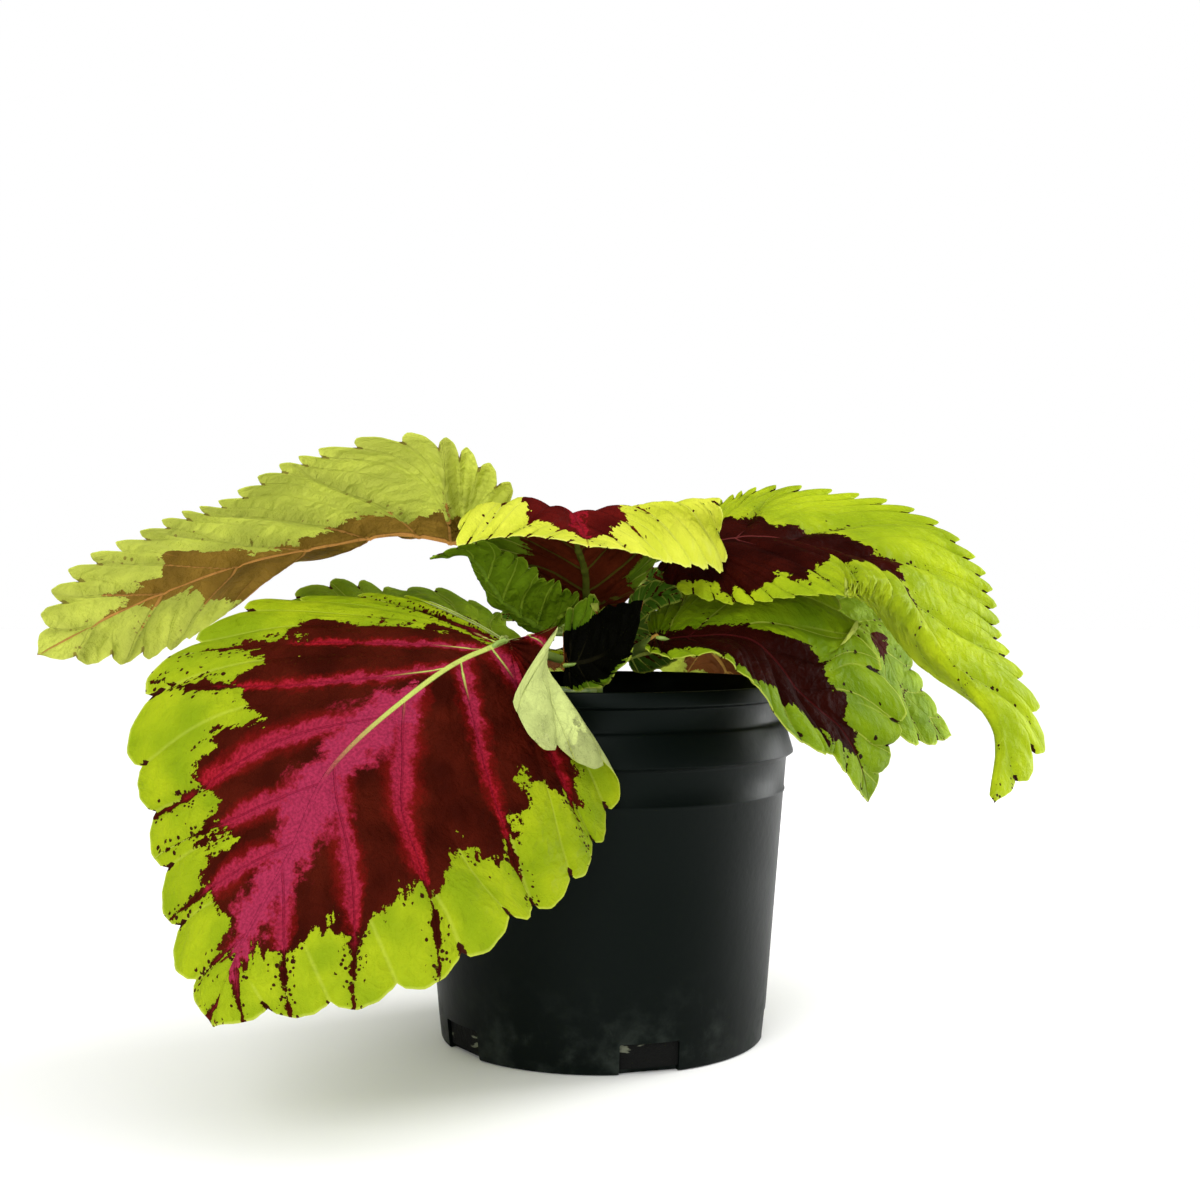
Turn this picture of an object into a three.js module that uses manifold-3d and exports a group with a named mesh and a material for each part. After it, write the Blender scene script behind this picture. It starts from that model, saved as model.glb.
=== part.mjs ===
// Potted kong rose coleus: a young plant with very large scalloped leaves in a round nursery pot.
// Millimetres, +Z up. The pot stands on Z = 0 with its axis on the Z axis, its front faces -Y.
import * as THREE from "three";
import { mergeVertices } from "three/addons/utils/BufferGeometryUtils.js";
import Module from "manifold-3d";

const wasm = await Module();
wasm.setup();

// Nursery pot
const POT_SEGMENTS = 48;
const BASE_RADIUS = 70;
const BASE_ROUND = 1;
const HEEL_RADIUS = 71;
const HEEL_Z = 10;
const NECK_RADIUS = 80.2;
const NECK_Z = 121;
const WALL = 1.6;
const FLOOR = 1.8;
const RING_Z = 107;
const RING_PROUD = 0.5;
const COLLAR_Z = 123;
const COLLAR_RADIUS = 83.2;
const LEDGE_Z = 136.5;
const LEDGE_RADIUS = 79.6;
const BAND_RADIUS = 78;
const BAND_TAPER = 0.3;
const RIM_Z = 146.5;
const RIM_RADIUS = 81;
const RIM_ROUND = 1;
const RIM_WALL = 2.2;
const POT_HEIGHT = 153;
const SLOT_COUNT = 5;
const SLOT_FIRST_DEG = -74.2;
const SLOT_WIDTH = 25;
const SLOT_HEIGHT = 12.5;
const SLOT_DEPTH = 9;

// Soil
const SOIL_SEGMENTS = 24;
const SOIL_Z = 132;
const SOIL_RIM_RADIUS = 75.6;
const SOIL_RIM_Z = 130.5;
const SOIL_RINGS = [64, 46, 28, 13];
const SOIL_WALL_Z = 118;
const SOIL_LIFT = 0.3;
const SOIL_GAP = 0.4;
const SOIL_BUMP = 1.6;
const BUMPS_X = [0.19, 1.1];
const BUMPS_Y = [0.23, -0.4];
const HOLE_RADIUS = 5.9;
const HOLE_DEPTH = 20;

// Stem
const STEM_X = -4;
const STEM_Y = 8;
const STEM_RADIUS = 5.4;
const STEM_TIP_RADIUS = 3.6;
const STEM_BOTTOM_Z = 114;
const STEM_TOP_Z = 203;
const STEM_CORNERS = 16;
const STEM_SQUARE = 0.05;
const STEM_GAP = 0.32;
const YOUNG_SIZE = [2.2, 5.5, 10];
const YOUNG_APART = 3;
const YOUNG_TURN = 0.35;
const YOUNG_RISE = 6;

// Leaf blades
const VEIN_ANGLE = THREE.MathUtils.degToRad(55);
const VEIN_BOW = 1.2;
const BLADE = 0.9;
const RIB_STEPS = 60;
const MIDRIB_DEPTH = 2.4;
const MIDRIB_TAPER = 0.85;
const QUILT = 1.2;
const QUILT_REACH = 30;
const SWELL = [1.5, 4, 0];
const HALF_SHIFT = 0.37;
const CURL_STEPS = 24;
const CREASE_BOW = 1.25;
const TOOTH_LEAN = 1.35;
const NOTCH_REACH = 25;
const COLUMNS = [0, 0.07, 0.42, 0.78];
const MARGIN_STEPS = 3;
const STALK_SIDES = 3;
const STALK_LEAVE = 2;
const STALK_OVERLAP = 6;
const STALK_SINK = 1.2;
const CORDATE = [
  [0, 0], [-0.075, 0.16], [-0.105, 0.42], [-0.055, 0.7], [0.08, 0.92], [0.27, 1],
  [0.47, 0.92], [0.66, 0.68], [0.82, 0.38], [0.93, 0.14], [1, 0],
];
const WEDGE = [
  [0, 0], [-0.06, 0.12], [-0.03, 0.26], [0.08, 0.36], [0.22, 0.52], [0.38, 0.76], [0.52, 0.84],
  [0.66, 0.9], [0.78, 1], [0.83, 0.74], [0.92, 0.36], [1, 0],
];

// Each leaf: the midrib through a few points, the facing of the upper side, the half widths left and
// right of the midrib, the roll about the midrib, the lift and the curl of each half in degrees from
// the foot to the tip, the fullness of the outline and the size of the basal lobes.
// stalk is the height on the stem and the points between the stem and the foot of the blade.
const LEAVES = [
  {
    name: "leaf_front_left", rows: 2, teeth: 14, cut: 4.5,
    rib: [
      [-37, -101, 174], [-61, -117, 162], [-96, -136, 131], [-109, -155, 101], [-126, -169, 66],
      [-130, -179, 48],
    ],
    up: [0.05, -0.8, 0.5], half: [95, 96], roll: [-4, -2, 17],
    lift: [[-24, -8, -2], [-24, -10, -19]], curl: [[-22, -9, -4], [-21, -14, -6]],
    full: [0.61, 0.72], ear: [1.9, 0.07], steady: 0.6,
    tuck: { hand: -1, start: 8, run: 26, radius: 8.5, turn: 2.9 },
    stalk: [148, [-23, -52, 153], [-32, -80, 165]], thick: 2.4,
  },
  {
    name: "leaf_upper_left", rows: 2, teeth: 15, cut: 6,
    rib: [
      [-61, -8, 214], [-87, -8, 218], [-114, -6, 214], [-156, -5, 205], [-202, -9, 187],
      [-244, -10, 165],
    ],
    up: [0, 0, 1], half: [74, 68], roll: [24, 29, 57],
    lift: [[8, -14, -11], [19, 2, -8]], curl: [[13, 4, -10], [65, 52, 19]],
    full: [0.69, 0.74], ear: [1.22, 0.74],
    stalk: [184, [-34, -2, 202]], thick: 2.3,
  },
  {
    name: "leaf_upper_right", rows: 2, teeth: 20, cut: 4.5,
    rib: [
      [38, -4, 212], [69, -3, 216], [101, 3, 209], [127, -1, 198], [149, -8, 165], [170, -19, 136],
      [164, -35, 104],
    ],
    up: [0, 0, 1], half: [71, 68], roll: [11, 17, 33],
    lift: [[-3, 8, 15, 8, 1], [-4, 8, -21]], curl: [[2, 8, 12, 2, -7], [-30, -21, -31]],
    full: [0.8, 0.81], ear: [0.84, 0.76],
    crease: { hand: 1, from: [76, 66], to: [132, -4], run: 12, turn: 2.6 },
    stalk: [186, [16, 4, 203]], thick: 2.3,
  },
  {
    name: "leaf_front_crest", rows: 2, teeth: 12, cut: 3, shape: WEDGE,
    rib: [[-7, -15, 184], [-7, -25, 200], [-10, -39, 211], [-12, -57, 224], [-7, -74, 215], [-5, -90, 210]],
    up: [0, 1, 0.2], half: [71, 52], roll: [2, -3, -8],
    lift: [[22, 14, 6], [13, 26, 0]], curl: [[1, -9, -80], [0, -60, -40]],
    full: [1, 0.68], ear: [0.6, 0.6],
    stalk: [178, [-5, -6, 179]], thick: 2,
  },
  {
    name: "leaf_front_right", rows: 2, teeth: 15, cut: 3.2,
    rib: [[22, -55, 173], [59, -61, 173], [80, -64, 151], [96, -62, 137], [104, -62, 122], [108, -56, 107]],
    up: [0.1, -0.5, 0.85], half: [66, 43], roll: [-11, 0, 3],
    lift: [[-1, 8, 8], [10, 13, 5]], curl: [[0, -8, 0], [4, 6, 0]],
    full: [0.62, 0.9], ear: [0.5, 0.05],
    stalk: [157, [8, -24, 164]], thick: 2.2,
  },
  {
    name: "leaf_low_left", rows: 1, teeth: 14, cut: 3.2,
    rib: [[-31, -7, 167], [-58, -4, 176], [-84, 6, 184], [-112, 15, 180], [-142, 24, 177], [-154, 28, 155]],
    up: [0, -0.2, 1], half: [46, 54], roll: [-2, -11, -30],
    lift: [[0, 0, 0], [-13, -4, 15]], curl: [[0, 0, 0], [-6, -4, 4]],
    full: [0.9, 0.72], ear: [0.6, 0.4],
    stalk: [160, [-20, 0, 163]], thick: 2.1,
  },
  {
    name: "leaf_back_right", rows: 1, teeth: 13, cut: 3.2,
    rib: [[75, 60, 188], [103, 63, 182], [130, 67, 169], [146, 75, 142], [171, 88, 121]],
    up: [0, -0.2, 1], half: [39, 44], roll: [18, 27, 22],
    lift: [[4, 4, 0], [1, -8, -7]], curl: [[1, 5, -7], [0, -2, -2]],
    full: [0.59, 0.67], ear: [0.43, 0.61],
    stalk: [172, [18, 26, 184], [48, 46, 190]], thick: 2.1,
  },
  {
    name: "leaf_back_top", rows: 1, teeth: 15, cut: 3.2,
    rib: [[-10, 46, 212], [-14, 75, 217], [-16, 105, 211], [-20, 135, 195], [-24, 165, 170]],
    up: [0, 0, 1], half: [54, 50], roll: [0, 0, 0],
    lift: [[14, 12, 5], [14, 12, 5]], curl: [[-10, -20, -10], [-10, -20, -10]],
    full: [0.85, 0.85], ear: [0.8, 0.8],
    stalk: [190, [-6, 28, 204]], thick: 2.1,
  },
  {
    name: "leaf_back_low_right", rows: 1, teeth: 14, cut: 3.2,
    rib: [[20, 44, 174], [38, 66, 174], [58, 88, 158], [74, 106, 130], [82, 114, 98]],
    up: [0, 0, 1], half: [48, 42], roll: [0, 0, 0],
    lift: [[8, 5, 0], [8, 5, 0]], curl: [[-10, -20, -10], [-10, -20, -10]],
    full: [0.85, 0.85], ear: [0.7, 0.7],
    stalk: [152, [8, 26, 166]], thick: 2.1,
  },
  {
    name: "leaf_back_low_left", rows: 1, teeth: 14, cut: 3.2,
    rib: [[-12, 46, 162], [-26, 70, 163], [-46, 96, 150], [-72, 116, 126], [-84, 130, 90]],
    up: [0, 0, 1], half: [46, 44], roll: [0, 0, 0],
    lift: [[4, 2, 0], [4, 2, 0]], curl: [[-10, -20, -10], [-10, -20, -10]],
    full: [0.85, 0.85], ear: [0.7, 0.7],
    stalk: [148, [-10, 22, 160]], thick: 2.1,
  },
  {
    name: "leaf_inner_left", rows: 1, teeth: 10, cut: 2,
    rib: [[-22, -24, 175], [-40, -34, 188], [-50, -43, 203], [-56, -49, 208], [-70, -55, 206]],
    up: [0, 0, 1], half: [28, 14], roll: [39, 33, 35],
    lift: [[-1, -7, -5], [20, 20, 20]], curl: [[-1, -3, 0], [30, 30, 0]],
    full: [0.9, 2.5], ear: [0.1, 0.8],
    stalk: [171, [-13, -14, 174]], thick: 1.6,
  },
  {
    name: "leaf_inner_front", rows: 1, teeth: 9, cut: 2,
    rib: [[-15, -48, 162], [-3, -54, 165], [4, -60, 170], [11, -63, 179], [16, -66, 189]],
    up: [0, -0.4, 1], half: [29, 13], roll: [48, 46, 34],
    lift: [[0, 2, 5], [0, -10, 5]], curl: [[0, 0, 0], [10, 8, 15]],
    full: [0.8, 0.8], ear: [0.1, 0.15],
    stalk: [162, [-8, -20, 161]], thick: 1.6,
  },
  {
    name: "leaf_small_right", rows: 1, teeth: 6, cut: 1.2,
    rib: [[13, -22, 183], [20, -27, 189], [27, -30, 191], [34, -32, 189]],
    up: [0, -0.7, 0.7], half: [9, 9], roll: [0, 0, 0],
    lift: [[10, 5, 0], [10, 5, 0]], curl: [[0, 0, 0], [0, 0, 0]],
    full: [0.6, 0.6], ear: [0.6, 0.6], wave: [0.4, 2, 0],
    stalk: [170, [8, -12, 177]], thick: 1.1,
  },
  {
    name: "leaf_small_left", rows: 1, teeth: 6, cut: 1.2,
    rib: [[-24, 3, 178], [-32, 1, 182], [-38, -1, 183], [-44, -3, 180]],
    up: [0, -0.5, 0.8], half: [9, 9], roll: [0, 0, 0],
    lift: [[10, 5, 0], [10, 5, 0]], curl: [[0, 0, 0], [0, 0, 0]],
    full: [0.6, 0.6], ear: [0.6, 0.6], wave: [0.4, 2, 0],
    stalk: [169, [-15, 4, 173]], thick: 1.1,
  },
];

// Smooth value between numbers spread evenly from the foot to the tip.
function ramp(values, share) {
  const last = values.length - 1;
  const at = THREE.MathUtils.clamp(share, 0, 1) * last;
  const i = Math.min(Math.floor(at), last - 1);
  const t = at - i;
  const b = values[i];
  const c = values[i + 1];
  const a = i > 0 ? values[i - 1] : 2 * b - c;
  const d = i < last - 1 ? values[i + 2] : 2 * c - b;
  return 0.5 * (2 * b + (c - a) * t + (2 * a - 5 * b + 4 * c - d) * t * t + (3 * b - a - 3 * c + d) * t ** 3);
}

function smoothCurve(points) {
  const places = points.map((p) => new THREE.Vector3(p[0], p[1], p[2] ?? 0));
  const curve = new THREE.CatmullRomCurve3(places, false, "catmullrom", 0.5);
  curve.arcLengthDivisions = 400;
  return curve;
}

// Midrib with its direction, its upward normal and its sideways direction at 61 even places.
class Midrib {
  constructor(leaf) {
    const curve = smoothCurve(leaf.rib);
    this.length = curve.getLength();
    this.places = curve.getSpacedPoints(RIB_STEPS);
    const mean = this.places[RIB_STEPS].clone().sub(this.places[0]).normalize();
    const steady = leaf.steady ?? 0;
    const carried = new THREE.Vector3(...leaf.up);
    this.frames = this.places.map((place, i) => {
      const before = this.places[Math.max(i - 1, 0)];
      const after = this.places[Math.min(i + 1, RIB_STEPS)];
      const along = after.clone().sub(before).normalize().lerp(mean, steady).normalize();
      carried.addScaledVector(along, -carried.dot(along)).normalize();
      const across = along.clone().cross(carried);
      const roll = THREE.MathUtils.degToRad(ramp(leaf.roll, i / RIB_STEPS));
      const up = carried.clone().multiplyScalar(Math.cos(roll)).addScaledVector(across, Math.sin(roll));
      return { along, up, side: along.clone().cross(up) };
    });
  }

  // Place and directions at a distance from the foot.
  at(distance) {
    const share = THREE.MathUtils.clamp(distance / this.length, 0, 1) * RIB_STEPS;
    const i = Math.min(Math.floor(share), RIB_STEPS - 1);
    const f = share - i;
    const from = this.frames[i];
    const to = this.frames[i + 1];
    return {
      place: this.places[i].clone().lerp(this.places[i + 1], f),
      along: from.along.clone().lerp(to.along, f),
      up: from.up.clone().lerp(to.up, f),
      side: from.side.clone().lerp(to.side, f),
    };
  }
}

// One half of the flat leaf outline, hand 1 for the right half and -1 for the left one.
function outline(leaf, midrib, hand) {
  const pick = hand > 0 ? 1 : 0;
  const points = (leaf.shape ?? CORDATE).map(([x, y]) => [
    midrib.length * (x < 0 ? x * leaf.ear[pick] : x),
    leaf.half[pick] * (x > 0.27 ? y ** leaf.full[pick] : y),
  ]);
  return smoothCurve(points);
}

// Where vein line t leaves the midrib, the same for both halves.
function veinStart(midrib, edges, t) {
  const [left, right] = edges.map((edge) => edge.getPointAt(THREE.MathUtils.clamp(t, 0, 1)));
  const start = (left.x + right.x) / 2 - (left.y + right.y) / 2 / Math.tan(VEIN_ANGLE);
  return THREE.MathUtils.clamp(start, 0, midrib.length);
}

// Angle by which the margin is turned under past a crease that runs from near the margin to the midrib.
function turnedUnder(crease, hand, x, y) {
  if (!crease || crease.hand !== hand) {
    return 0;
  }
  const { from, to, run, turn } = crease;
  const left = Math.max(0, (to[0] - x) / (to[0] - from[0]));
  const line = to[1] + (from[1] - to[1]) * left ** CREASE_BOW;
  return turn * THREE.MathUtils.smoothstep(y - line, 0, run);
}

// Place of the middle of the blade on vein line t (0 at the foot, 1 at the tip), a share s out along it.
function bladePlace(leaf, midrib, edges, t, s, hand) {
  const pick = hand > 0 ? 1 : 0;
  const edge = edges[pick].getPointAt(THREE.MathUtils.clamp(t, 0, 1));
  const start = veinStart(midrib, edges, t);
  const reach = Math.hypot(edge.x - start, edge.y);
  const tooth = ((leaf.teeth * t) % 1) ** TOOTH_LEAN;
  const round = 1 - Math.sqrt(Math.max(0, 1 - (2 * tooth - 1) ** 2));
  const notch = Math.min(leaf.cut * round * Math.min(1, reach / NOTCH_REACH), 0.5 * reach);
  const out = s * (1 - notch / Math.max(reach, 1e-6));
  const x = start + (edge.x - start) * out ** VEIN_BOW;
  const y = edge.y * out;
  const half = leaf.half[pick];
  const share = x / midrib.length;
  const frame = midrib.at(x);
  const lift = THREE.MathUtils.degToRad(ramp(leaf.lift[pick], share));
  const curl = THREE.MathUtils.degToRad(ramp(leaf.curl[pick], share));
  let outward = 0;
  let upward = 0;
  for (let i = 0; i < CURL_STEPS; i += 1) {
    const between = (y * (i + 0.5)) / CURL_STEPS;
    const angle = lift + (curl * between) / half - turnedUnder(leaf.crease, hand, x, between);
    outward += (Math.cos(angle) * y) / CURL_STEPS;
    upward += (Math.sin(angle) * y) / CURL_STEPS;
  }
  const angle = lift + (curl * y) / half - turnedUnder(leaf.crease, hand, x, y);
  const [swell, waves, phase] = leaf.wave ?? SWELL;
  const shift = hand > 0 ? HALF_SHIFT : 0;
  const turn = 2 * Math.PI * (waves * THREE.MathUtils.clamp(share, 0, 1) + phase + shift);
  const puff = Math.sin(Math.PI * s ** 0.8) ** 0.7 * Math.min(1, reach / QUILT_REACH);
  const bump = swell * (y / half) ** 2 * Math.sin(turn)
    + QUILT * Math.abs(Math.sin(Math.PI * leaf.teeth * t)) * (s > 0 && s < 1 ? puff : 0);
  outward -= bump * Math.sin(angle);
  upward += bump * Math.cos(angle);
  let back = Math.min(x, 0);
  if (leaf.tuck && leaf.tuck.hand === hand) {
    const { start: fold, run, radius, turn: most } = leaf.tuck;
    const behind = Math.max(0, fold - x) * THREE.MathUtils.smoothstep(y, 0, run);
    const bend = Math.min(behind / radius, most);
    const straight = behind - bend * radius;
    back += behind - radius * Math.sin(bend) - straight * Math.cos(bend);
    upward += radius * (1 - Math.cos(bend)) + straight * Math.sin(bend);
  }
  return frame.place
    .addScaledVector(frame.along, back)
    .addScaledVector(frame.side, hand * outward)
    .addScaledVector(frame.up, upward);
}

// Triangles between two lines of points that run side by side, both from the foot to the tip.
function strip(inner, outer, triangles, flip) {
  let i = 0;
  let j = 0;
  while (i < inner.length - 1 || j < outer.length - 1) {
    const nextInner = i < inner.length - 1 ? inner[i + 1].t : Infinity;
    const nextOuter = j < outer.length - 1 ? outer[j + 1].t : Infinity;
    const stepOut = nextOuter <= nextInner;
    const corner = stepOut ? outer[j + 1].id : inner[i + 1].id;
    const triangle = [inner[i].id, outer[j].id, corner];
    if (new Set(triangle).size === 3) {
      triangles.push(flip ? triangle.reverse() : triangle);
    }
    if (stepOut) {
      j += 1;
    } else {
      i += 1;
    }
  }
}

// Closed blade with its raised midrib underneath.
function bladeSolid(leaf) {
  const midrib = new Midrib(leaf);
  const edges = [outline(leaf, midrib, -1), outline(leaf, midrib, 1)];
  const rows = leaf.teeth * leaf.rows;
  const points = [];
  const add = (place, t, ridge = 0) => {
    points.push({ place, ridge, normal: new THREE.Vector3() });
    return { id: points.length - 1, t };
  };
  const line = (steps, s, hand) => Array.from({ length: steps + 1 }, (_, i) => {
    const t = i / steps;
    if (i === 0) {
      return foot;
    }
    if (i === steps) {
      return tip;
    }
    return add(bladePlace(leaf, midrib, edges, t, s, hand), t);
  });
  const foot = add(midrib.places[0].clone(), 0, MIDRIB_DEPTH);
  const tip = add(midrib.places[RIB_STEPS].clone(), 1);
  const rib = Array.from({ length: rows + 1 }, (_, i) => {
    const t = i / rows;
    const start = veinStart(midrib, edges, t);
    if (i === 0 || start < 0.5) {
      return { id: foot.id, t };
    }
    if (i === rows) {
      return tip;
    }
    return add(midrib.at(start).place, t, MIDRIB_DEPTH * (1 - MIDRIB_TAPER * start / midrib.length));
  });
  const triangles = [];
  for (const hand of [-1, 1]) {
    let inner = rib;
    for (const s of [...COLUMNS.slice(1), 1]) {
      const outer = line(s < 1 ? rows : leaf.teeth * MARGIN_STEPS, s, hand);
      strip(inner, outer, triangles, hand < 0);
      inner = outer;
    }
  }
  return solidSheet(points, triangles);
}

// Both faces of a sheet of triangles and the wall around its edge.
function solidSheet(points, triangles) {
  const edge = new Set();
  for (const [a, b, c] of triangles) {
    const ab = points[b].place.clone().sub(points[a].place);
    const normal = ab.cross(points[c].place.clone().sub(points[a].place));
    for (const [from, to] of [[a, b], [b, c], [c, a]]) {
      points[from].normal.add(normal);
      if (!edge.delete(`${to},${from}`)) {
        edge.add(`${from},${to}`);
      }
    }
  }
  const count = points.length;
  const corners = [];
  for (const side of [1, -1]) {
    for (const { place, normal, ridge } of points) {
      const far = BLADE / 2 + (side < 0 ? ridge : 0);
      const corner = place.clone().addScaledVector(normal.clone().normalize(), side * far);
      corners.push(corner.x, corner.y, corner.z);
    }
  }
  const faces = [];
  for (const [a, b, c] of triangles) {
    faces.push(a, b, c, count + a, count + c, count + b);
  }
  for (const pair of edge) {
    const [from, to] = pair.split(",").map(Number);
    faces.push(to, from, count + from, to, count + from, count + to);
  }
  return new wasm.Manifold(new wasm.Mesh({
    numProp: 3,
    vertProperties: new Float32Array(corners),
    triVerts: new Uint32Array(faces),
  }));
}

// Closed solid of a geometry whose vertices are joined by place.
function solid(geometry) {
  geometry.deleteAttribute("normal");
  geometry.deleteAttribute("uv");
  const joined = mergeVertices(geometry, 1e-4);
  return new wasm.Manifold(new wasm.Mesh({
    numProp: 3,
    vertProperties: new Float32Array(joined.attributes.position.array),
    triVerts: new Uint32Array(joined.index.array),
  }));
}

function geometryOf(manifold) {
  const mesh = manifold.getMesh();
  const geometry = new THREE.BufferGeometry();
  geometry.setAttribute("position", new THREE.BufferAttribute(new Float32Array(mesh.vertProperties), 3));
  geometry.setIndex(new THREE.BufferAttribute(new Uint32Array(mesh.triVerts), 1));
  const joined = mergeVertices(geometry, 1e-4);
  joined.computeVertexNormals();
  return joined;
}

function stemRadius(z) {
  const share = (z - STEM_BOTTOM_Z) / (STEM_TOP_Z - STEM_BOTTOM_Z);
  return STEM_RADIUS + (STEM_TIP_RADIUS - STEM_RADIUS) * share;
}

// Leaf stalk from the stem into the foot of the blade.
function stalkSolid(leaf) {
  const [height, ...between] = leaf.stalk;
  const foot = new THREE.Vector3(...leaf.rib[0]);
  const via = between.map((p) => new THREE.Vector3(...p));
  const away = via[0].clone().sub(new THREE.Vector3(STEM_X, STEM_Y, height)).setZ(0).normalize();
  const start = new THREE.Vector3(STEM_X, STEM_Y, height)
    .addScaledVector(away, stemRadius(height) + STEM_GAP);
  const leaving = start.clone().addScaledVector(away, STALK_LEAVE);
  const frame = new Midrib(leaf).at(STALK_OVERLAP);
  const end = frame.place.addScaledVector(frame.up, -STALK_SINK);
  const path = new THREE.CatmullRomCurve3([start, leaving, ...via, foot, end], false, "catmullrom", 0.5);
  const circle = new THREE.Shape();
  circle.absarc(0, 0, leaf.thick, 0, 2 * Math.PI);
  return solid(new THREE.ExtrudeGeometry(circle, {
    steps: 3 + 2 * via.length,
    curveSegments: STALK_SIDES,
    bevelEnabled: false,
    extrudePath: path,
  }));
}

function lathe(profile, segments) {
  const geometry = new THREE.LatheGeometry(profile.map(([r, z]) => new THREE.Vector2(r, z)), segments);
  geometry.rotateX(Math.PI / 2);
  return geometry;
}

// Outer radius of the pot's tapering body at a height.
function bodyRadius(z) {
  return HEEL_RADIUS + ((NECK_RADIUS - HEEL_RADIUS) * (z - HEEL_Z)) / (NECK_Z - HEEL_Z);
}

function potSolid() {
  const outside = [
    [0, 0], [BASE_RADIUS - BASE_ROUND, 0], [BASE_RADIUS, BASE_ROUND], [HEEL_RADIUS, HEEL_Z],
    [bodyRadius(RING_Z - RING_PROUD), RING_Z - RING_PROUD], [bodyRadius(RING_Z) + RING_PROUD, RING_Z],
    [NECK_RADIUS, NECK_Z], [COLLAR_RADIUS, COLLAR_Z], [LEDGE_RADIUS, LEDGE_Z - RIM_ROUND],
    [BAND_RADIUS + BAND_TAPER, LEDGE_Z], [BAND_RADIUS, RIM_Z - RIM_ROUND],
    [RIM_RADIUS - RIM_ROUND / 2, RIM_Z], [RIM_RADIUS, RIM_Z + RIM_ROUND],
    [RIM_RADIUS, POT_HEIGHT - RIM_ROUND], [RIM_RADIUS - RIM_ROUND, POT_HEIGHT],
  ];
  const inside = [
    [RIM_RADIUS - RIM_WALL, POT_HEIGHT], [BAND_RADIUS - WALL, RIM_Z], [BAND_RADIUS - WALL, LEDGE_Z],
    [bodyRadius(COLLAR_Z) - WALL, COLLAR_Z], [HEEL_RADIUS - WALL, HEEL_Z],
    [BASE_RADIUS - WALL, FLOOR], [0, FLOOR],
  ];
  let pot = solid(lathe([...outside, ...inside], POT_SEGMENTS));
  for (let i = 0; i < SLOT_COUNT; i += 1) {
    const box = new THREE.BoxGeometry(SLOT_DEPTH, SLOT_WIDTH, 2 * SLOT_HEIGHT);
    box.translate(BASE_RADIUS, 0, 0);
    box.rotateZ(THREE.MathUtils.degToRad(SLOT_FIRST_DEG + (360 / SLOT_COUNT) * i));
    pot = pot.subtract(solid(box));
  }
  return pot;
}

// Soil that fills the pot, with a lumpy top and a hole for the stem.
function soilSolid() {
  const inside = (z) => bodyRadius(z) - WALL - SOIL_GAP;
  const low = FLOOR + SOIL_LIFT;
  const profile = [
    [0, low], [BASE_RADIUS - WALL - 2 * SOIL_GAP, low], [inside(HEEL_Z), HEEL_Z],
    [inside(SOIL_WALL_Z), SOIL_WALL_Z], [SOIL_RIM_RADIUS, SOIL_RIM_Z],
    ...SOIL_RINGS.map((radius) => [radius, SOIL_Z]), [0, SOIL_Z],
  ];
  const geometry = lathe(profile, SOIL_SEGMENTS);
  const place = geometry.attributes.position;
  for (let i = 0; i < place.count; i += 1) {
    if (place.getZ(i) > SOIL_RIM_Z) {
      const bump = Math.sin(BUMPS_X[0] * place.getX(i) + BUMPS_X[1])
        * Math.cos(BUMPS_Y[0] * place.getY(i) + BUMPS_Y[1]);
      place.setZ(i, SOIL_Z + SOIL_BUMP * bump);
    }
  }
  const depth = HOLE_DEPTH + 4 * SOIL_BUMP;
  const hole = new THREE.CylinderGeometry(HOLE_RADIUS, HOLE_RADIUS, depth, STEM_CORNERS);
  hole.rotateX(Math.PI / 2);
  hole.translate(STEM_X, STEM_Y, SOIL_Z - HOLE_DEPTH + depth / 2);
  return solid(geometry).subtract(solid(hole));
}

// Squarish stem, thinner upward, with the two youngest leaves closed over its tip.
function stemSolid() {
  const corners = Array.from({ length: STEM_CORNERS }, (_, i) => {
    const angle = (2 * Math.PI * i) / STEM_CORNERS;
    const radius = STEM_RADIUS * (1 - STEM_SQUARE * (1 + Math.cos(4 * angle)));
    return new THREE.Vector2(radius * Math.cos(angle), radius * Math.sin(angle));
  });
  const bar = new THREE.ExtrudeGeometry(new THREE.Shape(corners), {
    depth: STEM_TOP_Z - STEM_BOTTOM_Z,
    steps: 4,
    bevelEnabled: false,
  });
  const place = bar.attributes.position;
  for (let i = 0; i < place.count; i += 1) {
    const z = place.getZ(i) + STEM_BOTTOM_Z;
    const slim = stemRadius(z) / STEM_RADIUS;
    place.setXYZ(i, STEM_X + place.getX(i) * slim, STEM_Y + place.getY(i) * slim, z);
  }
  let stem = solid(bar);
  for (const side of [-1, 1]) {
    const young = new THREE.SphereGeometry(1, 10, 8);
    young.scale(...YOUNG_SIZE);
    young.rotateY(side * YOUNG_TURN);
    young.translate(STEM_X + side * YOUNG_APART, STEM_Y, STEM_TOP_Z + YOUNG_RISE);
    stem = stem.add(solid(young));
  }
  return stem;
}

const COLOURS = {
  pot: { color: 0x1b211f, roughness: 0.42 },
  soil: { color: 0x1d150f, roughness: 0.95 },
  stem: { color: 0x7fa03a, roughness: 0.55 },
  leaf: { color: 0x8fae25, roughness: 0.5 },
};

const group = new THREE.Group();
group.name = "potted_kong_rose_coleus";

function place(name, manifold, { color, roughness }) {
  const material = new THREE.MeshStandardMaterial({ color, roughness, metalness: 0 });
  material.name = `${name}_surface`;
  const mesh = new THREE.Mesh(geometryOf(manifold), material);
  mesh.name = name;
  group.add(mesh);
}

place("pot", potSolid(), COLOURS.pot);
place("soil", soilSolid(), COLOURS.soil);
place("stem", stemSolid(), COLOURS.stem);
for (const leaf of LEAVES) {
  place(leaf.name, bladeSolid(leaf).add(stalkSolid(leaf)), COLOURS.leaf);
}

export default group;
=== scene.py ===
"""Potted kong rose coleus: coloured leaves, stem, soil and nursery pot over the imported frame."""
import logging
import math
import random
from dataclasses import dataclass
from enum import Enum

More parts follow.
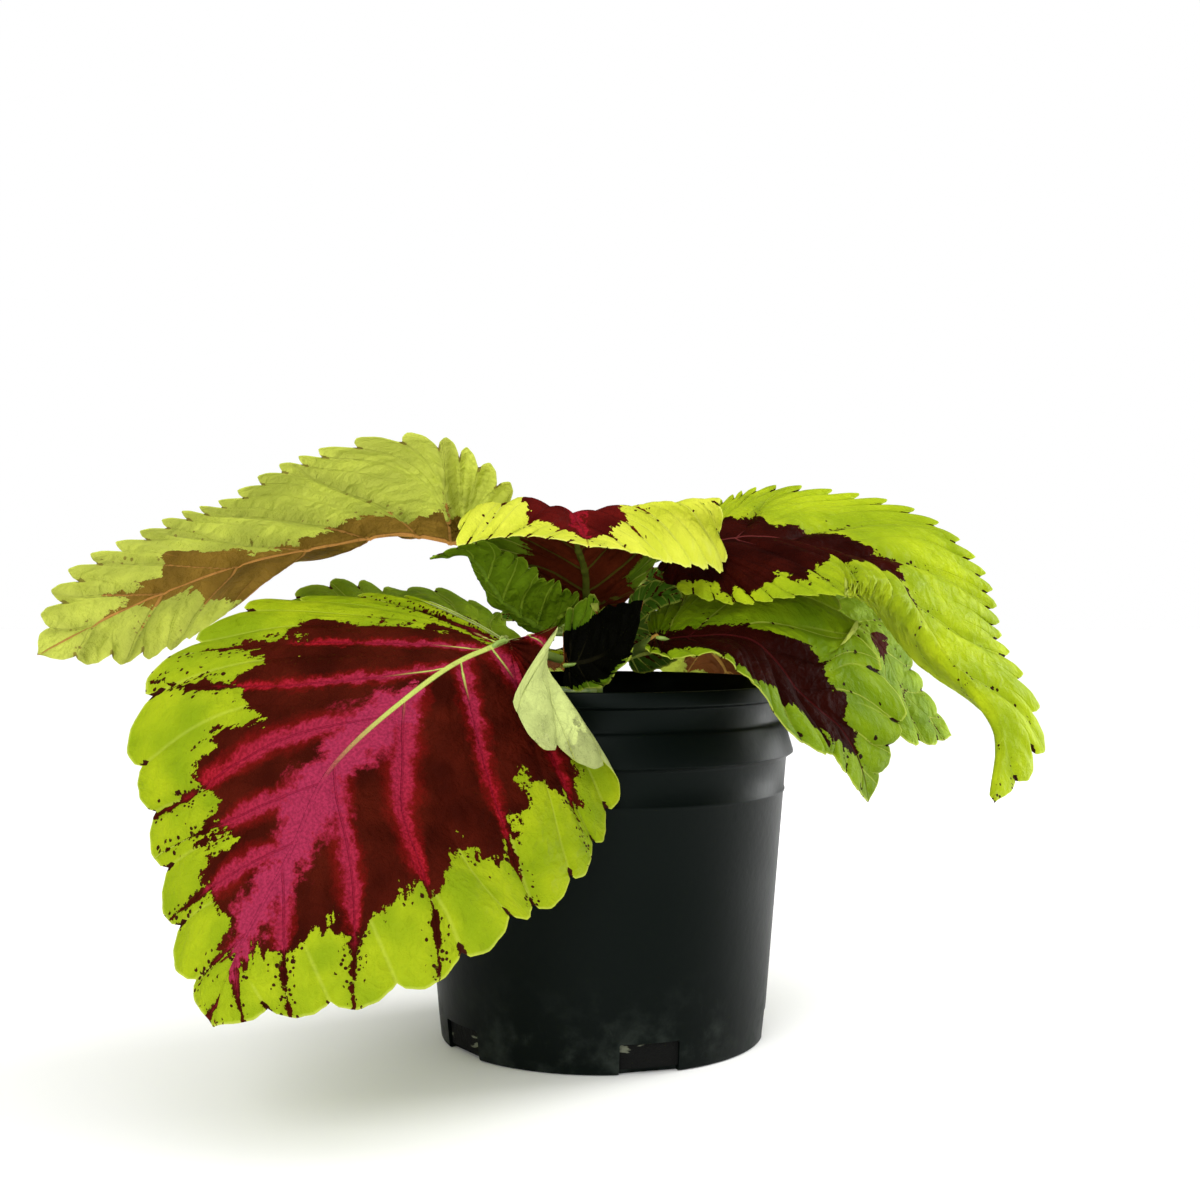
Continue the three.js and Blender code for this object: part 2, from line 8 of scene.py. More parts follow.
import bpy
import numpy as np
from mathutils import Matrix, Vector, noise


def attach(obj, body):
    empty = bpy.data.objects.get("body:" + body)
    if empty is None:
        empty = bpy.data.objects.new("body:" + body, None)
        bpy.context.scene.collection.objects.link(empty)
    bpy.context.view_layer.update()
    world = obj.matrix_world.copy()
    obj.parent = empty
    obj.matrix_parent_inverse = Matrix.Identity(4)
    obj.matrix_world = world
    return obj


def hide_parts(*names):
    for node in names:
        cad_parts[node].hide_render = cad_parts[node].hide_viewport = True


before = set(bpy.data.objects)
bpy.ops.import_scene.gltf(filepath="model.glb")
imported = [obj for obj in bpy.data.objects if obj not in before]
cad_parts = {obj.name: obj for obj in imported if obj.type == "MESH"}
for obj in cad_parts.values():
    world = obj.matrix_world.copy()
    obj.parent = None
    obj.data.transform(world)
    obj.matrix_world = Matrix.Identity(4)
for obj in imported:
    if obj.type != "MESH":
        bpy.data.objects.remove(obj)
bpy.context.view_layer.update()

LOG = logging.getLogger("coleus")
MM = 0.001

STEM_FOOT = np.array((-4.0, 8.0, 114.0))
STEM_TOP_Z = 203.0
STEM_RADII = (5.4, 3.6)

VEIN_ANGLE = math.radians(55)
VEIN_BOW = 1.2
TOOTH_LEAN = 1.35
TOOTH_ROUND = 0.85
TOOTH_DEPTH = 1.2
TOOTH_CRIMP = 0.5
CRIMPS_A_TOOTH = 3
TOOTH_FLUTTER = 1.6
FLUTTER_LEVEL = 0.35
FLUTTER_FROM = 0.7
TUCKED_TEETH = (0.1, 0.22)
FULL_FROM = 0.27
QUILT = 1.2
QUILT_REACH = 30
FULL_REACH = 25
HALVES_APART = 0.37
CREASE_CALM = 0.85
RIB_SAMPLES = 61
EDGE_SAMPLES = 241
CURL_STEPS = 24
STALK_SIDES = 14
STALK_ROWS = 40
STALK_SINK = 1.4
OUTWARD_POWER = 1.4
LEAST_LANE = 0.5
OUTER_LANE = 25
MERGE = 0.00002

CORDATE = (
    (0, 0), (-0.075, 0.16), (-0.105, 0.42), (-0.055, 0.7), (0.08, 0.92), (0.27, 1),
    (0.47, 0.92), (0.66, 0.68), (0.82, 0.38), (0.93, 0.14), (1, 0),
)
WEDGE = (
    (0, 0), (-0.06, 0.12), (-0.03, 0.26), (0.08, 0.36), (0.22, 0.52), (0.38, 0.76), (0.52, 0.84),
    (0.66, 0.9), (0.78, 1), (0.83, 0.74), (0.92, 0.36), (1, 0),
)

Pair = tuple[float, float]
Pairs = tuple[Pair, ...]
Point = tuple[float, float, float]
Colour = tuple[float, float, float, float]


class Detail(Enum):
    """Rows for each tooth of the margin and columns for each half of a blade."""

    LARGE = (12, 30)
    MIDDLE = (8, 20)
    SMALL = (6, 12)


def srgb(red: int, green: int, blue: int) -> Colour:
    """A colour as read off a screen, as the linear colour that a shader takes.

    Args:
        red: Red from 0 to 255.
        green: Green.
        blue: Blue.

    Returns:
        Linear red, green, blue and an alpha of one.
    """
    channels = (c / 255 for c in (red, green, blue))
    linear = (c / 12.92 if c <= 0.04045 else ((c + 0.055) / 1.055) ** 2.4 for c in channels)
    return (*linear, 1.0)


def dimmed(colour: Colour, share: float) -> Colour:
    """The colour with only a share of its light."""
    return (*(channel * share for channel in colour[:3]), 1.0)


def ramp(values: object, share: np.ndarray) -> np.ndarray:
    """Smooth value between numbers or points spread evenly from 0 to 1.

    Args:
        values: The numbers or points, two at least.
        share: Where between the first and the last one.

    Returns:
        One number or point for each share.
    """
    v = np.asarray(values, float)
    last = len(v) - 1
    at = np.clip(share, 0, 1) * last
    i = np.minimum(np.floor(at).astype(int), last - 1)
    t = at - i
    padded = np.concatenate(([2 * v[0] - v[1]], v, [2 * v[-1] - v[-2]]))
    a, b, c, d = (padded[i + k] for k in range(4))
    if v.ndim > 1:
        t = t[..., None]
    return 0.5 * (2 * b + (c - a) * t + (2 * a - 5 * b + 4 * c - d) * t**2 + (3 * b - a - 3 * c + d) * t**3)


def even_curve(points: object, count: int) -> tuple[np.ndarray, float]:
    """Places at even distances along a smooth curve through the points.

    Args:
        points: The points that the curve goes through.
        count: How many places are wanted.

    Returns:
        The places and the curve's length.
    """
    fine = ramp(points, np.linspace(0, 1, 401))
    gone = np.concatenate(([0], np.cumsum(np.linalg.norm(np.diff(fine, axis=0), axis=1))))
    wanted = np.linspace(0, gone[-1], count)
    places = np.stack([np.interp(wanted, gone, fine[:, k]) for k in range(fine.shape[1])], -1)
    return places, float(gone[-1])


def stem_radius(z: float | np.ndarray) -> float | np.ndarray:
    """Radius of the stem at a height or heights."""
    share = (z - STEM_FOOT[2]) / (STEM_TOP_Z - STEM_FOOT[2])
    return STEM_RADII[0] + (STEM_RADII[1] - STEM_RADII[0]) * share


def places_at(pairs: Pairs, x: np.ndarray) -> np.ndarray:
    """Value at x of a line through the pairs."""
    table = np.array(pairs, float)
    return np.interp(x, table[:, 0], table[:, 1])


def smoothstep(value: np.ndarray, low: float, high: float) -> np.ndarray:
    """Smooth step from 0 at low to 1 at high."""
    t = np.clip((value - low) / (high - low), 0, 1)
    return t * t * (3 - 2 * t)


def bell(value: np.ndarray, width: float) -> np.ndarray:
    """1 where the value is 0, falling off smoothly within the width."""
    return np.exp(-((value / width) ** 2))


def unit(rows: np.ndarray) -> np.ndarray:
    """The rows at length one."""
    return rows / np.maximum(np.linalg.norm(rows, axis=-1, keepdims=True), 1e-9)


def carried_frames(places: np.ndarray, along: np.ndarray, up: Point) -> tuple[np.ndarray, np.ndarray]:
    """Directions carried along a curve without a twist.

    Args:
        places: Places on the curve; not used.
        along: Its direction at each place.
        up: The upward direction at the start.

    Returns:
        The upward and the sideways direction at each place.
    """
    ups = []
    carried = np.array(up, float)
    for direction in along:
        carried = unit(carried - carried.dot(direction) * direction)
        ups.append(carried)
    ups = np.array(ups)
    return ups, np.cross(along, ups)


@dataclass(frozen=True)
class Tuck:
    """A basal lobe that is rolled up over the upper side, in millimetres and radians.

    Hand is the half that it is on. The roll starts at start along the leaf, grows over the run across
    it, and goes round its radius until it has made its turn.
    """

    hand: int
    start: float
    run: float
    radius: float
    turn: float


@dataclass(frozen=True)
class Crease:
    """Line along which a margin is turned under, from near the margin to near the midrib.

    Start and end are places along and across the leaf in millimetres, and bow bends the line between
    them. The turn, in radians, is made within the run past the line.
    """

    hand: int
    start: Pair
    end: Pair
    run: float
    turn: float
    bow: float = 1.25


@dataclass(frozen=True)
class LeafForm:
    """Form of one leaf in millimetres and degrees, as the solids have it.

    The pairs are for the left and the right half, and the threes for the foot, the middle and the tip.
    Rib and via are places on the midrib and on the stalk, which leaves the stem at the height and is
    twice thick across. Half is the width of each half, lift the angle of each half beside the midrib
    and curl how much that angle grows towards the margin. Full and ear shape the outline, cut is the
    depth of the teeth and crowd says how much they crowd in the middle of the margin. Wave is the
    height, the number and the phase of the waves along the margin. Steady evens out the directions of
    the midrib. The finished margin has fine_teeth where they are given, or else as many as the solid.
    """

    node: str
    teeth: int
    rib: tuple[Point, ...]
    up: Point
    half: Pair
    roll: Point
    lift: tuple[Point, Point]
    curl: tuple[Point, Point]
    full: Pair
    ear: Pair
    height: float
    via: tuple[Point, ...]
    thick: float
    cut: float = 3.2
    outline: tuple[Pair, ...] = CORDATE
    wave: Point = (1.5, 4, 0)
    steady: float = 0.0
    tuck: Tuck | None = None
    crease: Crease | None = None
    detail: Detail = Detail.MIDDLE
    fine_teeth: int = 0
    crowd: float = 0.0

    @property
    def margin_teeth(self) -> int:
        """How many teeth each half of the finished margin has."""
        return self.fine_teeth or self.teeth

    def crowded(self, t: np.ndarray) -> np.ndarray:
        """Share of the teeth passed on the way along the margin, which crowd in its middle."""
        return t - self.crowd * np.sin(2 * math.pi * t) / (2 * math.pi)


class Midrib:
    """Midrib of a leaf with its directions at even places."""

    def __init__(self, form: LeafForm) -> None:
        """Samples the midrib of the form.

        Args:
            form: Form of the leaf.
        """
        self.places, self.length = even_curve(form.rib, RIB_SAMPLES)
        before = np.vstack((self.places[:1], self.places[:-1]))
        after = np.vstack((self.places[1:], self.places[-1:]))
        along = unit(after - before)
        mean = unit(self.places[-1] - self.places[0])
        self.along = unit(along * (1 - form.steady) + mean * form.steady)
        carried, across = carried_frames(self.places, self.along, form.up)
        turn = np.radians(ramp(form.roll, np.linspace(0, 1, RIB_SAMPLES)))[:, None]
        self.up = carried * np.cos(turn) + across * np.sin(turn)
        self.side = np.cross(self.along, self.up)

    def at(self, rows: np.ndarray, distance: np.ndarray) -> np.ndarray:
        """The rows' value at a distance from the foot."""
        marks = np.linspace(0, self.length, RIB_SAMPLES)
        return np.stack([np.interp(distance, marks, rows[:, k]) for k in range(3)], -1)


class Blade:
    """Surface of a leaf blade: the vein lines go from the midrib to the toothed margin."""

    def __init__(self, form: LeafForm) -> None:
        """Works out the midrib and both halves of the flat outline.

        Args:
            form: Form of the leaf.
        """
        self.form = form
        self.midrib = Midrib(form)
        self.edges = [self._edge(half) for half in (0, 1)]

    def _edge(self, half: int) -> np.ndarray:
        """Even places on one half of the flat outline.

        Args:
            half: 0 for the left half and 1 for the right one.

        Returns:
            Places along and across the leaf, in millimetres.
        """
        form = self.form
        points = [
            (
                self.midrib.length * (x * form.ear[half] if x < 0 else x),
                form.half[half] * (y ** form.full[half] if x > FULL_FROM else y),
            )
            for x, y in form.outline
        ]
        return even_curve(points, EDGE_SAMPLES)[0]

    def flat(self, t: np.ndarray, s: np.ndarray, hand: np.ndarray) -> dict[str, np.ndarray]:
        """Place of a point in the flat leaf.

        Args:
            t: Which vein line, 0 at the foot and 1 at the tip.
            s: How far out on it, 0 on the midrib and 1 at the margin.
            hand: -1 for the left half and 1 for the right one.

        Returns:
            x along and y across the leaf, the reach of the vein line, in millimetres, and how far out
            on it the point comes to lie between the teeth.
        """
        form, marks = self.form, np.linspace(0, 1, EDGE_SAMPLES)
        sides = [[np.interp(t, marks, edge[:, k]) for k in (0, 1)] for edge in self.edges]
        start = (sides[0][0] + sides[1][0] - (sides[0][1] + sides[1][1]) / math.tan(VEIN_ANGLE)) / 2
        start = np.clip(start, 0, self.midrib.length)
        edge_x, edge_y = (np.where(hand > 0, sides[1][k], sides[0][k]) for k in (0, 1))
        reach = np.hypot(edge_x - start, edge_y)
        crimp = TOOTH_CRIMP * np.sin(CRIMPS_A_TOOTH * math.pi * form.margin_teeth * form.crowded(t)) ** 2
        notch = (form.cut * TOOTH_DEPTH * self.tooth_cut(t) + crimp) * np.minimum(1, reach / FULL_REACH)
        notch = np.minimum(notch, 0.5 * reach) * self.toothed(t, hand)
        out = s * (1 - notch / np.maximum(reach, 1e-6))
        return {"x": start + (edge_x - start) * out**VEIN_BOW, "y": edge_y * out, "reach": reach, "out": out}

    def toothed(self, t: np.ndarray, hand: np.ndarray) -> np.ndarray:
        """1 where the margin has its teeth and 0 on the lobe that is rolled up."""
        tucked = bool(self.form.tuck) & (hand == (self.form.tuck.hand if self.form.tuck else 0))
        return np.where(tucked, smoothstep(t, *TUCKED_TEETH), 1)

    def tooth_cut(self, t: np.ndarray) -> np.ndarray:
        """0 in the middle of a tooth and 1 in the notch beside it."""
        tooth = np.mod(self.form.margin_teeth * self.form.crowded(t), 1.0) ** TOOTH_LEAN
        return (1 - np.sqrt(np.clip(1 - (2 * tooth - 1) ** 2, 0, 1))) ** TOOTH_ROUND

    def _turned_under(self, hand: np.ndarray, x: np.ndarray, y: np.ndarray) -> np.ndarray:
        """Angle by which the margin is turned under past the crease.

        Args:
            hand: -1 for the left half and 1 for the right one.
            x: Along the leaf, in millimetres.
            y: Across it.

        Returns:
            One angle in radians for each point.
        """
        crease = self.form.crease
        if crease is None:
            return np.zeros_like(y)
        left = np.maximum(0, (crease.end[0] - x) / (crease.end[0] - crease.start[0]))
        line = crease.end[1] + (crease.start[1] - crease.end[1]) * left**crease.bow
        return crease.turn * smoothstep(y - line, 0, crease.run) * (hand == crease.hand)

    def place(self, t: np.ndarray, s: np.ndarray, hand: np.ndarray, relief: np.ndarray) -> np.ndarray:
        """Places in space of the middle of the blade, in millimetres.

        Args:
            t: Which vein line, 0 at the foot and 1 at the tip.
            s: How far out on it, 0 on the midrib and 1 at the margin.
            hand: -1 for the left half and 1 for the right one.
            relief: Height of the fine quilting over the smooth blade.

        Returns:
            One place for each point.
        """
        form, rib = self.form, self.midrib
        flat = self.flat(t, s, hand)
        x, y, reach = flat["x"], flat["y"], flat["reach"]
        half = np.where(hand > 0, form.half[1], form.half[0])
        share = np.clip(x / rib.length, 0, 1)
        lift, curl = (
            np.radians(np.where(hand > 0, ramp(angles[1], share), ramp(angles[0], share)))
            for angles in (form.lift, form.curl)
        )
        outward, upward = np.zeros_like(y), np.zeros_like(y)
        for i in range(CURL_STEPS):
            between = y * (i + 0.5) / CURL_STEPS
            angle = lift + curl * between / half - self._turned_under(hand, x, between)
            outward += np.cos(angle) * y / CURL_STEPS
            upward += np.sin(angle) * y / CURL_STEPS
        angle = lift + curl * y / half - self._turned_under(hand, x, y)
        swell, waves, phase = form.wave
        turn = 2 * math.pi * (waves * share + phase + np.where(hand > 0, HALVES_APART, 0))
        puff = np.sin(math.pi * np.clip(s, 0, 1) ** 0.8) ** 0.7 * np.minimum(1, reach / QUILT_REACH)
        flutter = TOOTH_FLUTTER * (FLUTTER_LEVEL - self.tooth_cut(t)) * self.toothed(t, hand)
        flutter *= smoothstep(s, FLUTTER_FROM, 1.0) * np.minimum(1, reach / FULL_REACH)
        quilt = QUILT * np.abs(np.sin(math.pi * form.teeth * t)) * puff
        bump = swell * (y / half) ** 2 * np.sin(turn) + quilt + relief + flutter
        if form.crease:
            bump *= 1 - CREASE_CALM * np.clip(4 * self._turned_under(hand, x, y) / form.crease.turn, 0, 1)
        outward -= bump * np.sin(angle)
        upward += bump * np.cos(angle)
        back = np.minimum(x, 0)
        if form.tuck:
            fold = form.tuck
            behind = np.maximum(0, fold.start - x) * smoothstep(y, 0, fold.run) * (hand == fold.hand)
            bend = np.minimum(behind / fold.radius, fold.turn)
            straight = behind - bend * fold.radius
            back = back + behind - fold.radius * np.sin(bend) - straight * np.cos(bend)
            upward += fold.radius * (1 - np.cos(bend)) + straight * np.sin(bend)
        return (
            rib.at(rib.places, x)
            + rib.at(rib.along, x) * back[..., None]
            + rib.at(rib.side, x) * (hand * outward)[..., None]
            + rib.at(rib.up, x) * upward[..., None]
        )


@dataclass(frozen=True)
class Lateral:
    """One side vein, in millimetres but for its start, which is a share of the midrib's length.

    The vein lies at start + slope * y + bend * y * y along the leaf. Pink is the half width of the
    band along it, which ends at pink_end across the leaf, and streak is where its dark line ends.
    """

    start: float
    slope: float
    bend: float = 0.0
    pink: float = 0.0
    pink_end: float = 0.0
    streak: float = 60.0


SIDE_VEINS = (
    Lateral(-0.04, -0.3), Lateral(0.02, 0.1), Lateral(0.09, 0.5), Lateral(0.2, 0.8), Lateral(0.34, 0.95),
    Lateral(0.5, 1.1), Lateral(0.67, 1.3), Lateral(0.84, 1.6),
)

LEAVES = (
    LeafForm(
        "leaf_front_left", 14,
        ((-37, -101, 174), (-61, -117, 162), (-96, -136, 131), (-109, -155, 101), (-126, -169, 66),
         (-130, -179, 48)),
        (0.05, -0.8, 0.5), (95, 96), (-4, -2, 17),
        ((-24, -8, -2), (-24, -10, -19)), ((-22, -9, -4), (-21, -14, -6)), (0.61, 0.72), (1.9, 0.07),
        148, ((-23, -52, 153), (-32, -80, 165)), 2.4, cut=4.5, steady=0.6,
        tuck=Tuck(-1, 8, 26, 8.5, 2.9), detail=Detail.LARGE,
    ),
    LeafForm(
        "leaf_upper_left", 15,
        ((-61, -8, 214), (-87, -8, 218), (-114, -6, 214), (-156, -5, 205), (-202, -9, 187), (-244, -10, 165)),
        (0, 0, 1), (74, 68), (24, 29, 57),
        ((8, -14, -11), (19, 2, -8)), ((13, 4, -10), (65, 52, 19)), (0.69, 0.74), (1.22, 0.74),
        184, ((-34, -2, 202),), 2.3, cut=6, detail=Detail.LARGE, fine_teeth=25, crowd=0.3,
    ),
    LeafForm(
        "leaf_upper_right", 20,
        ((38, -4, 212), (69, -3, 216), (101, 3, 209), (127, -1, 198), (149, -8, 165), (170, -19, 136),
         (164, -35, 104)),
        (0, 0, 1), (71, 68), (11, 17, 33),
        ((-3, 8, 15, 8, 1), (-4, 8, -21)), ((2, 8, 12, 2, -7), (-30, -21, -31)), (0.8, 0.81), (0.84, 0.76),
        186, ((16, 4, 203),), 2.3, cut=4.5, crease=Crease(1, (76, 66), (132, -4), 12, 2.6),
        detail=Detail.LARGE, fine_teeth=31, crowd=0.5,
    ),
    LeafForm(
        "leaf_front_crest", 12,
        ((-7, -15, 184), (-7, -25, 200), (-10, -39, 211), (-12, -57, 224), (-7, -74, 215), (-5, -90, 210)),
        (0, 1, 0.2), (71, 52), (2, -3, -8),
        ((22, 14, 6), (13, 26, 0)), ((1, -9, -80), (0, -60, -40)), (1, 0.68), (0.6, 0.6),
        178, ((-5, -6, 179),), 2, cut=2.2, outline=WEDGE, detail=Detail.LARGE, fine_teeth=18,
    ),
    LeafForm(
        "leaf_front_right", 15,
        ((22, -55, 173), (59, -61, 173), (80, -64, 151), (96, -62, 137), (104, -62, 122), (108, -56, 107)),
        (0.1, -0.5, 0.85), (66, 43), (-11, 0, 3),
        ((-1, 8, 8), (10, 13, 5)), ((0, -8, 0), (4, 6, 0)), (0.62, 0.9), (0.5, 0.05),
        157, ((8, -24, 164),), 2.2, detail=Detail.LARGE,
    ),
    LeafForm(
        "leaf_low_left", 14,
        ((-31, -7, 167), (-58, -4, 176), (-84, 6, 184), (-112, 15, 180), (-142, 24, 177), (-154, 28, 155)),
        (0, -0.2, 1), (46, 54), (-2, -11, -30),
        ((0, 0, 0), (-13, -4, 15)), ((0, 0, 0), (-6, -4, 4)), (0.9, 0.72), (0.6, 0.4),
        160, ((-20, 0, 163),), 2.1, fine_teeth=18,
    ),
    LeafForm(
        "leaf_back_right", 13,
        ((75, 60, 188), (103, 63, 182), (130, 67, 169), (146, 75, 142), (171, 88, 121)),
        (0, -0.2, 1), (39, 44), (18, 27, 22),
        ((4, 4, 0), (1, -8, -7)), ((1, 5, -7), (0, -2, -2)), (0.59, 0.67), (0.43, 0.61),
        172, ((18, 26, 184), (48, 46, 190)), 2.1,
    ),
    LeafForm(
        "leaf_back_top", 15,
        ((-10, 46, 212), (-14, 75, 217), (-16, 105, 211), (-20, 135, 195), (-24, 165, 170)),
        (0, 0, 1), (54, 50), (0, 0, 0),
        ((14, 12, 5), (14, 12, 5)), ((-10, -20, -10), (-10, -20, -10)), (0.85, 0.85), (0.8, 0.8),
        190, ((-6, 28, 204),), 2.1,
    ),
    LeafForm(
        "leaf_back_low_right", 14,
        ((20, 44, 174), (38, 66, 174), (58, 88, 158), (74, 106, 130), (82, 114, 98)),
        (0, 0, 1), (48, 42), (0, 0, 0),
        ((8, 5, 0), (8, 5, 0)), ((-10, -20, -10), (-10, -20, -10)), (0.85, 0.85), (0.7, 0.7),
        152, ((8, 26, 166),), 2.1,
    ),
    LeafForm(
        "leaf_back_low_left", 14,
        ((-12, 46, 162), (-26, 70, 163), (-46, 96, 150), (-72, 116, 126), (-84, 130, 90)),
        (0, 0, 1), (46, 44), (0, 0, 0),
        ((4, 2, 0), (4, 2, 0)), ((-10, -20, -10), (-10, -20, -10)), (0.85, 0.85), (0.7, 0.7),
        148, ((-10, 22, 160),), 2.1,
    ),
    LeafForm(
        "leaf_inner_left", 10,
        ((-22, -24, 175), (-40, -34, 188), (-50, -43, 203), (-56, -49, 208), (-70, -55, 206)),
        (0, 0, 1), (28, 14), (39, 33, 35),
        ((-1, -7, -5), (20, 20, 20)), ((-1, -3, 0), (30, 30, 0)), (0.9, 2.5), (0.1, 0.8),
        171, ((-13, -14, 174),), 1.6, cut=2, fine_teeth=16,
    ),
    LeafForm(
        "leaf_inner_front", 9,
        ((-15, -48, 162), (-3, -54, 165), (4, -60, 170), (11, -63, 179), (16, -66, 189)),
        (0, -0.4, 1), (29, 13), (48, 46, 34),
        ((0, 2, 5), (0, -10, 5)), ((0, 0, 0), (10, 8, 15)), (0.8, 0.8), (0.1, 0.15),
        162, ((-8, -20, 161),), 1.6, cut=2,
    ),
    LeafForm(
        "leaf_small_right", 6,
        ((13, -22, 183), (20, -27, 189), (27, -30, 191), (34, -32, 189)),
        (0, -0.7, 0.7), (9, 9), (0, 0, 0),
        ((10, 5, 0), (10, 5, 0)), ((0, 0, 0), (0, 0, 0)), (0.6, 0.6), (0.6, 0.6),
        170, ((8, -12, 177),), 1.1, cut=1.2, wave=(0.4, 2, 0), detail=Detail.SMALL,
    ),
    LeafForm(
        "leaf_small_left", 6,
        ((-24, 3, 178), (-32, 1, 182), (-38, -1, 183), (-44, -3, 180)),
        (0, -0.5, 0.8), (9, 9), (0, 0, 0),
        ((10, 5, 0), (10, 5, 0)), ((0, 0, 0), (0, 0, 0)), (0.6, 0.6), (0.6, 0.6),
        169, ((-15, 4, 173),), 1.1, cut=1.2, wave=(0.4, 2, 0), detail=Detail.SMALL,
    ),
)


@dataclass(frozen=True)
class LeafColours:
    """Pattern and colours of one leaf.

    The border of the dark centre is given for the left and the right half as places along and across
    the leaf in millimetres, and the core is the half width of the pink round the midrib. Relief is
    the height of the quilting between the side veins, in millimetres. The lengths tongue, streak and
    jag are in metres and say how far lime runs in between the side veins, how far the dark runs out
    along them, and how rough the border is. Speckle is how many of the possible dots there are, dark
    how much of the centre is nearly black, and rib_end the share of the midrib that has its own colour.
    """

    border: tuple[Pairs, Pairs]
    veins: tuple[tuple[Lateral, ...], tuple[Lateral, ...]] = (SIDE_VEINS, SIDE_VEINS)
    core: Pairs = ((0, 0), (1, 0))
    relief: float = 1.15
    tongue: float = 0.006
    streak: float = 0.012
    jag: float = 0.007
    speckle: float = 0.5
    dark: float = 0.3
    centre: Colour = srgb(76, 20, 9)
    pink: Colour = srgb(154, 42, 72)
    lime: Colour = srgb(182, 198, 26)
    pale: Colour = srgb(214, 222, 92)
    shade: Colour = srgb(148, 170, 20)
    under: Colour = srgb(206, 220, 92)
    under_centre: Colour = srgb(126, 74, 34)
    under_rib: Colour = srgb(184, 140, 66)
    rib: Colour = srgb(176, 190, 92)
    rib_end: float = 0.45


BLANK = (((0, -9), (200, -9)), ((0, -9), (200, -9)))
BROAD = ((0, 12), (12, 22), (40, 26), (70, 24), (95, 12), (106, 0), (112, -12))
# Painted shade: the side shoots' greens are darker than the small leaves', as shade in the dark middle of the
# plant.
SHOOT_IN_PAINTED_SHADE = LeafColours(BLANK, lime=srgb(70, 106, 28), shade=srgb(46, 78, 16), speckle=0.0)
SMALL = LeafColours(BLANK, lime=srgb(92, 138, 36), shade=srgb(64, 104, 20), speckle=0.0)
BACK = LeafColours((BROAD, BROAD), core=((30, 0), (50, 4), (90, 4), (110, 0)), tongue=0.01)

